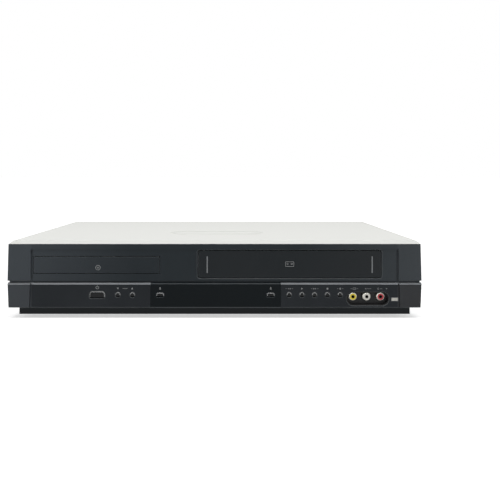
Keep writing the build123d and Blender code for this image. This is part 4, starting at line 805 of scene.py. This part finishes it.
# %% [markdown]
# ## The rear sockets
# A euro socket holds two rows of ten blades in the recesses round its tongue. The outputs
# wear rings in the usual colours: yellow for the picture, white and red for the sound, and
# orange for digital sound. Their places are found in the mesh, as groups of points in the
# plane of the mouths.

# %% Rear sockets
REARWARD = (0, 1, 0)
BLADES = 10  # in a row
BLADE_STAGGER = 0.15  # of a step, towards +X in one row and towards -X in the other
BLADE_SUNK, BLADE_SHIFT = 1.5 * MM, 1.7 * MM
MOUTH_REACH = 8.5 * MM  # more than the width of a mouth, and less than the way to the next
RING_SUNK = 0.35 * MM

openings = {o["name"]: o["box_m"] for o in frame["record"]["physics"]["openings"]}
blades = []
for socket in ("scart_one", "scart_two"):
    for row, lean in (("upper", -1), ("lower", 1)):
        low, high = (Vector(corner) for corner in openings[f"{socket}_{row}"])
        middle = (low + high) / 2
        for i in range(BLADES):
            x = low.x + (high.x - low.x) * (i + 0.5 + BLADE_STAGGER * lean) / BLADES
            blades.append(Vector((x, middle.y - BLADE_SUNK, middle.z - lean * BLADE_SHIFT)))
repeat("scart_contacts", blades, [REARWARD] * len(blades), blade,
       {"Wide": 1.6 * MM, "Thick": 0.5 * MM, "Long": 8.0 * MM}, brass, "case")

mouth_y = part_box("output_jacks")[1].y
mouths = {}
for vertex in frame["nodes"]["output_jacks"].data.vertices:
    if vertex.co.y > mouth_y - 0.01 * MM:
        near = [key for key in mouths if (Vector(key) - vertex.co).length < MOUTH_REACH]
        mouths.setdefault(near[0] if near else tuple(vertex.co), []).append(vertex.co.copy())
output_spots = [(low + high) / 2 for low, high in (box_of(points) for points in mouths.values())]
output_spots.sort(key=lambda c: (-round(c.z, 3), round(c.x, 3)))
print("output sockets at", [tuple(round(v, 4) for v in spot) for spot in output_spots])
for index, (spot, colour) in enumerate(zip(output_spots, (YELLOW, WHITE, RED, ORANGE)), 1):
    ringed = moulded(f"ring_colour_{index}", colour, 0.32, 0.5, 0.8 * MM, 0.004 * MM, 0.05)
    repeat(f"output_ring_{index}", [spot - Vector((0, RING_SUNK, 0))], [REARWARD], collar,
           {"Radius": 3.4 * MM, "Wall": 1.5 * MM, "Height": 0.66 * MM}, ringed, "case")

# %% [markdown]
# ## Frames and a bare plate on the rear
# A player's rear has printed frames round its groups of sockets, and a foil plate. The frames
# follow the boxes of the sockets, and stay above the fold at the panel's foot.

# %% Rear prints
FRAME_MARGIN, TALLEST, LOWEST = 7.0, 52.0, 13.5  # millimetres


def print_rear(name, outlines, finish):
    """Marks on the rear panel; an outline's X and Z are seen from the front."""
    print_marks(name, outlines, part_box("rear_panel")[1].y, finish, "case")


frames = []
for low, high in map(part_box, ("scart_sockets", "output_jacks", "tuner_can", "mains_inlet")):
    x, z = (low.x + high.x) / 2 / MM, (low.z + high.z) / 2 / MM
    wide = (high.x - low.x) / MM + FRAME_MARGIN
    tall = min((high.z - low.z) / MM + FRAME_MARGIN, TALLEST)
    frames.append(rounded(x, max(z, LOWEST + tall / 2), wide, tall, 2.0, 0.35))
print_rear("rear_frames", frames, faint_ink)
foil = moulded("plate", (0.36, 0.365, 0.37), 0.35, 0.5)
print_rear("rating_plate", [plate(60.0, 56.0, 74.0, 22.0, 1.5)], foil)
print("rear prints and the bare plate")

# %% [markdown]
# ## The floor
# A product picture stands on white paper. It also glows a little where the camera, a gloss or
# a glass looks, and more farther out, so it reads as white and still keeps the shadow.

# %% Floor
FLOOR_X, FLOOR_NEAR, FLOOR_FAR = 12, -6, 24  # metres
GLOW_NEAR, GLOW_MORE = 0.52, 0.5
GLOW_RISE = (0.4, 1.3)  # metres from the player, over which the glow grows


def light_path_mask(graph):
    """1 where the camera, a gloss or a glass looks, else 0."""
    camera_ray, gloss_ray, glass_ray = (
        graph.put("ShaderNodeLightPath", out=f"Is {kind} Ray")
        for kind in ("Camera", "Glossy", "Transmission"))
    return (camera_ray + gloss_ray + glass_ray).maths("MINIMUM", 1.0)


paper = bpy.data.materials.new("paper")
paper.use_nodes = True
sheet = Graph(paper.node_tree)
sheet.tree.nodes.clear()
matt = sheet.put("ShaderNodeBsdfDiffuse", {}, {"Color": (0.86, 0.86, 0.86, 1)})
place = sheet.put("ShaderNodeTexCoord", out="Object")
away = sheet.put("ShaderNodeVectorMath", {"operation": "LENGTH"}, {0: place}, "Value")
glow = sheet.put("ShaderNodeEmission", {}, {
    "Color": (1, 1, 1, 1),
    "Strength": light_path_mask(sheet) * (GLOW_NEAR + GLOW_MORE * away.within(*GLOW_RISE))})
both = sheet.put("ShaderNodeAddShader", {}, {0: matt, 1: glow})
sheet.put("ShaderNodeOutputMaterial", {}, {"Surface": both})

floor_mesh = bpy.data.meshes.new("floor")
floor_mesh.from_pydata([
    (-FLOOR_X, FLOOR_NEAR, 0), (FLOOR_X, FLOOR_NEAR, 0), (FLOOR_X, FLOOR_FAR, 0),
    (-FLOOR_X, FLOOR_FAR, 0)], [], [(0, 1, 2, 3)])
floor = bpy.data.objects.new("floor", floor_mesh)
bpy.context.collection.objects.link(floor)
floor_mesh.materials.append(paper)
floor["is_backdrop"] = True
print("floor laid")

# %% [markdown]
# ## World and lamps
# The world is white to look at and dim as a light, and soft boxes do the lighting. A long
# narrow box overhead draws the bright lines along the slanted edges and buttons, and their
# finishes add painted highlights there too.

# %% World and lamps
WORLD_LIGHT = 0.3
SOFT_BOXES = (  # name, place, what it aims at, width and height in metres, watts
    ("overhead", (0.0, -0.33, 0.95), (0.0, -0.1, 0.05), (1.5, 0.2), 5.0),
    ("rear_overhead", (0.0, 0.45, 1.1), (0.0, 0.05, 0.05), (1.4, 0.8), 3.0),
    ("left_side", (-1.15, -0.55, 0.45), (-0.1, -0.05, 0.05), (0.6, 0.9), 2.5),
    ("right_side", (1.15, -0.45, 0.45), (0.1, -0.05, 0.05), (0.6, 0.9), 2.5),
)

world = bpy.data.worlds.new("studio")
bpy.context.scene.world = world
world.use_nodes = True
air = Graph(world.node_tree)
air.tree.nodes.clear()
backdrop = air.put("ShaderNodeBackground", {}, {
    "Color": (1, 1, 1, 1),
    "Strength": WORLD_LIGHT + (1 - WORLD_LIGHT) * light_path_mask(air)})
air.put("ShaderNodeOutputWorld", {}, {"Surface": backdrop})

for name, place, aim, size, power in SOFT_BOXES:
    lamp = bpy.data.lights.new(name, "AREA")
    lamp.shape = "RECTANGLE"
    lamp.size, lamp.size_y = size
    lamp.energy = power
    holder = bpy.data.objects.new(name, lamp)
    holder.location = place
    holder.rotation_euler = (Vector(aim) - Vector(place)).to_track_quat("-Z", "Y").to_euler()
    bpy.context.collection.objects.link(holder)
bpy.context.scene.view_settings.view_transform = "Standard"
print("world and", len(SOFT_BOXES), "lamps set")

# %% [markdown]
# ## Sizes and finish
# The box of what is seen is worked out and printed.

# %% Sizes and finish
low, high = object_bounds()
print("visual box", [round(v, 5) for v in low], [round(v, 5) for v in high])
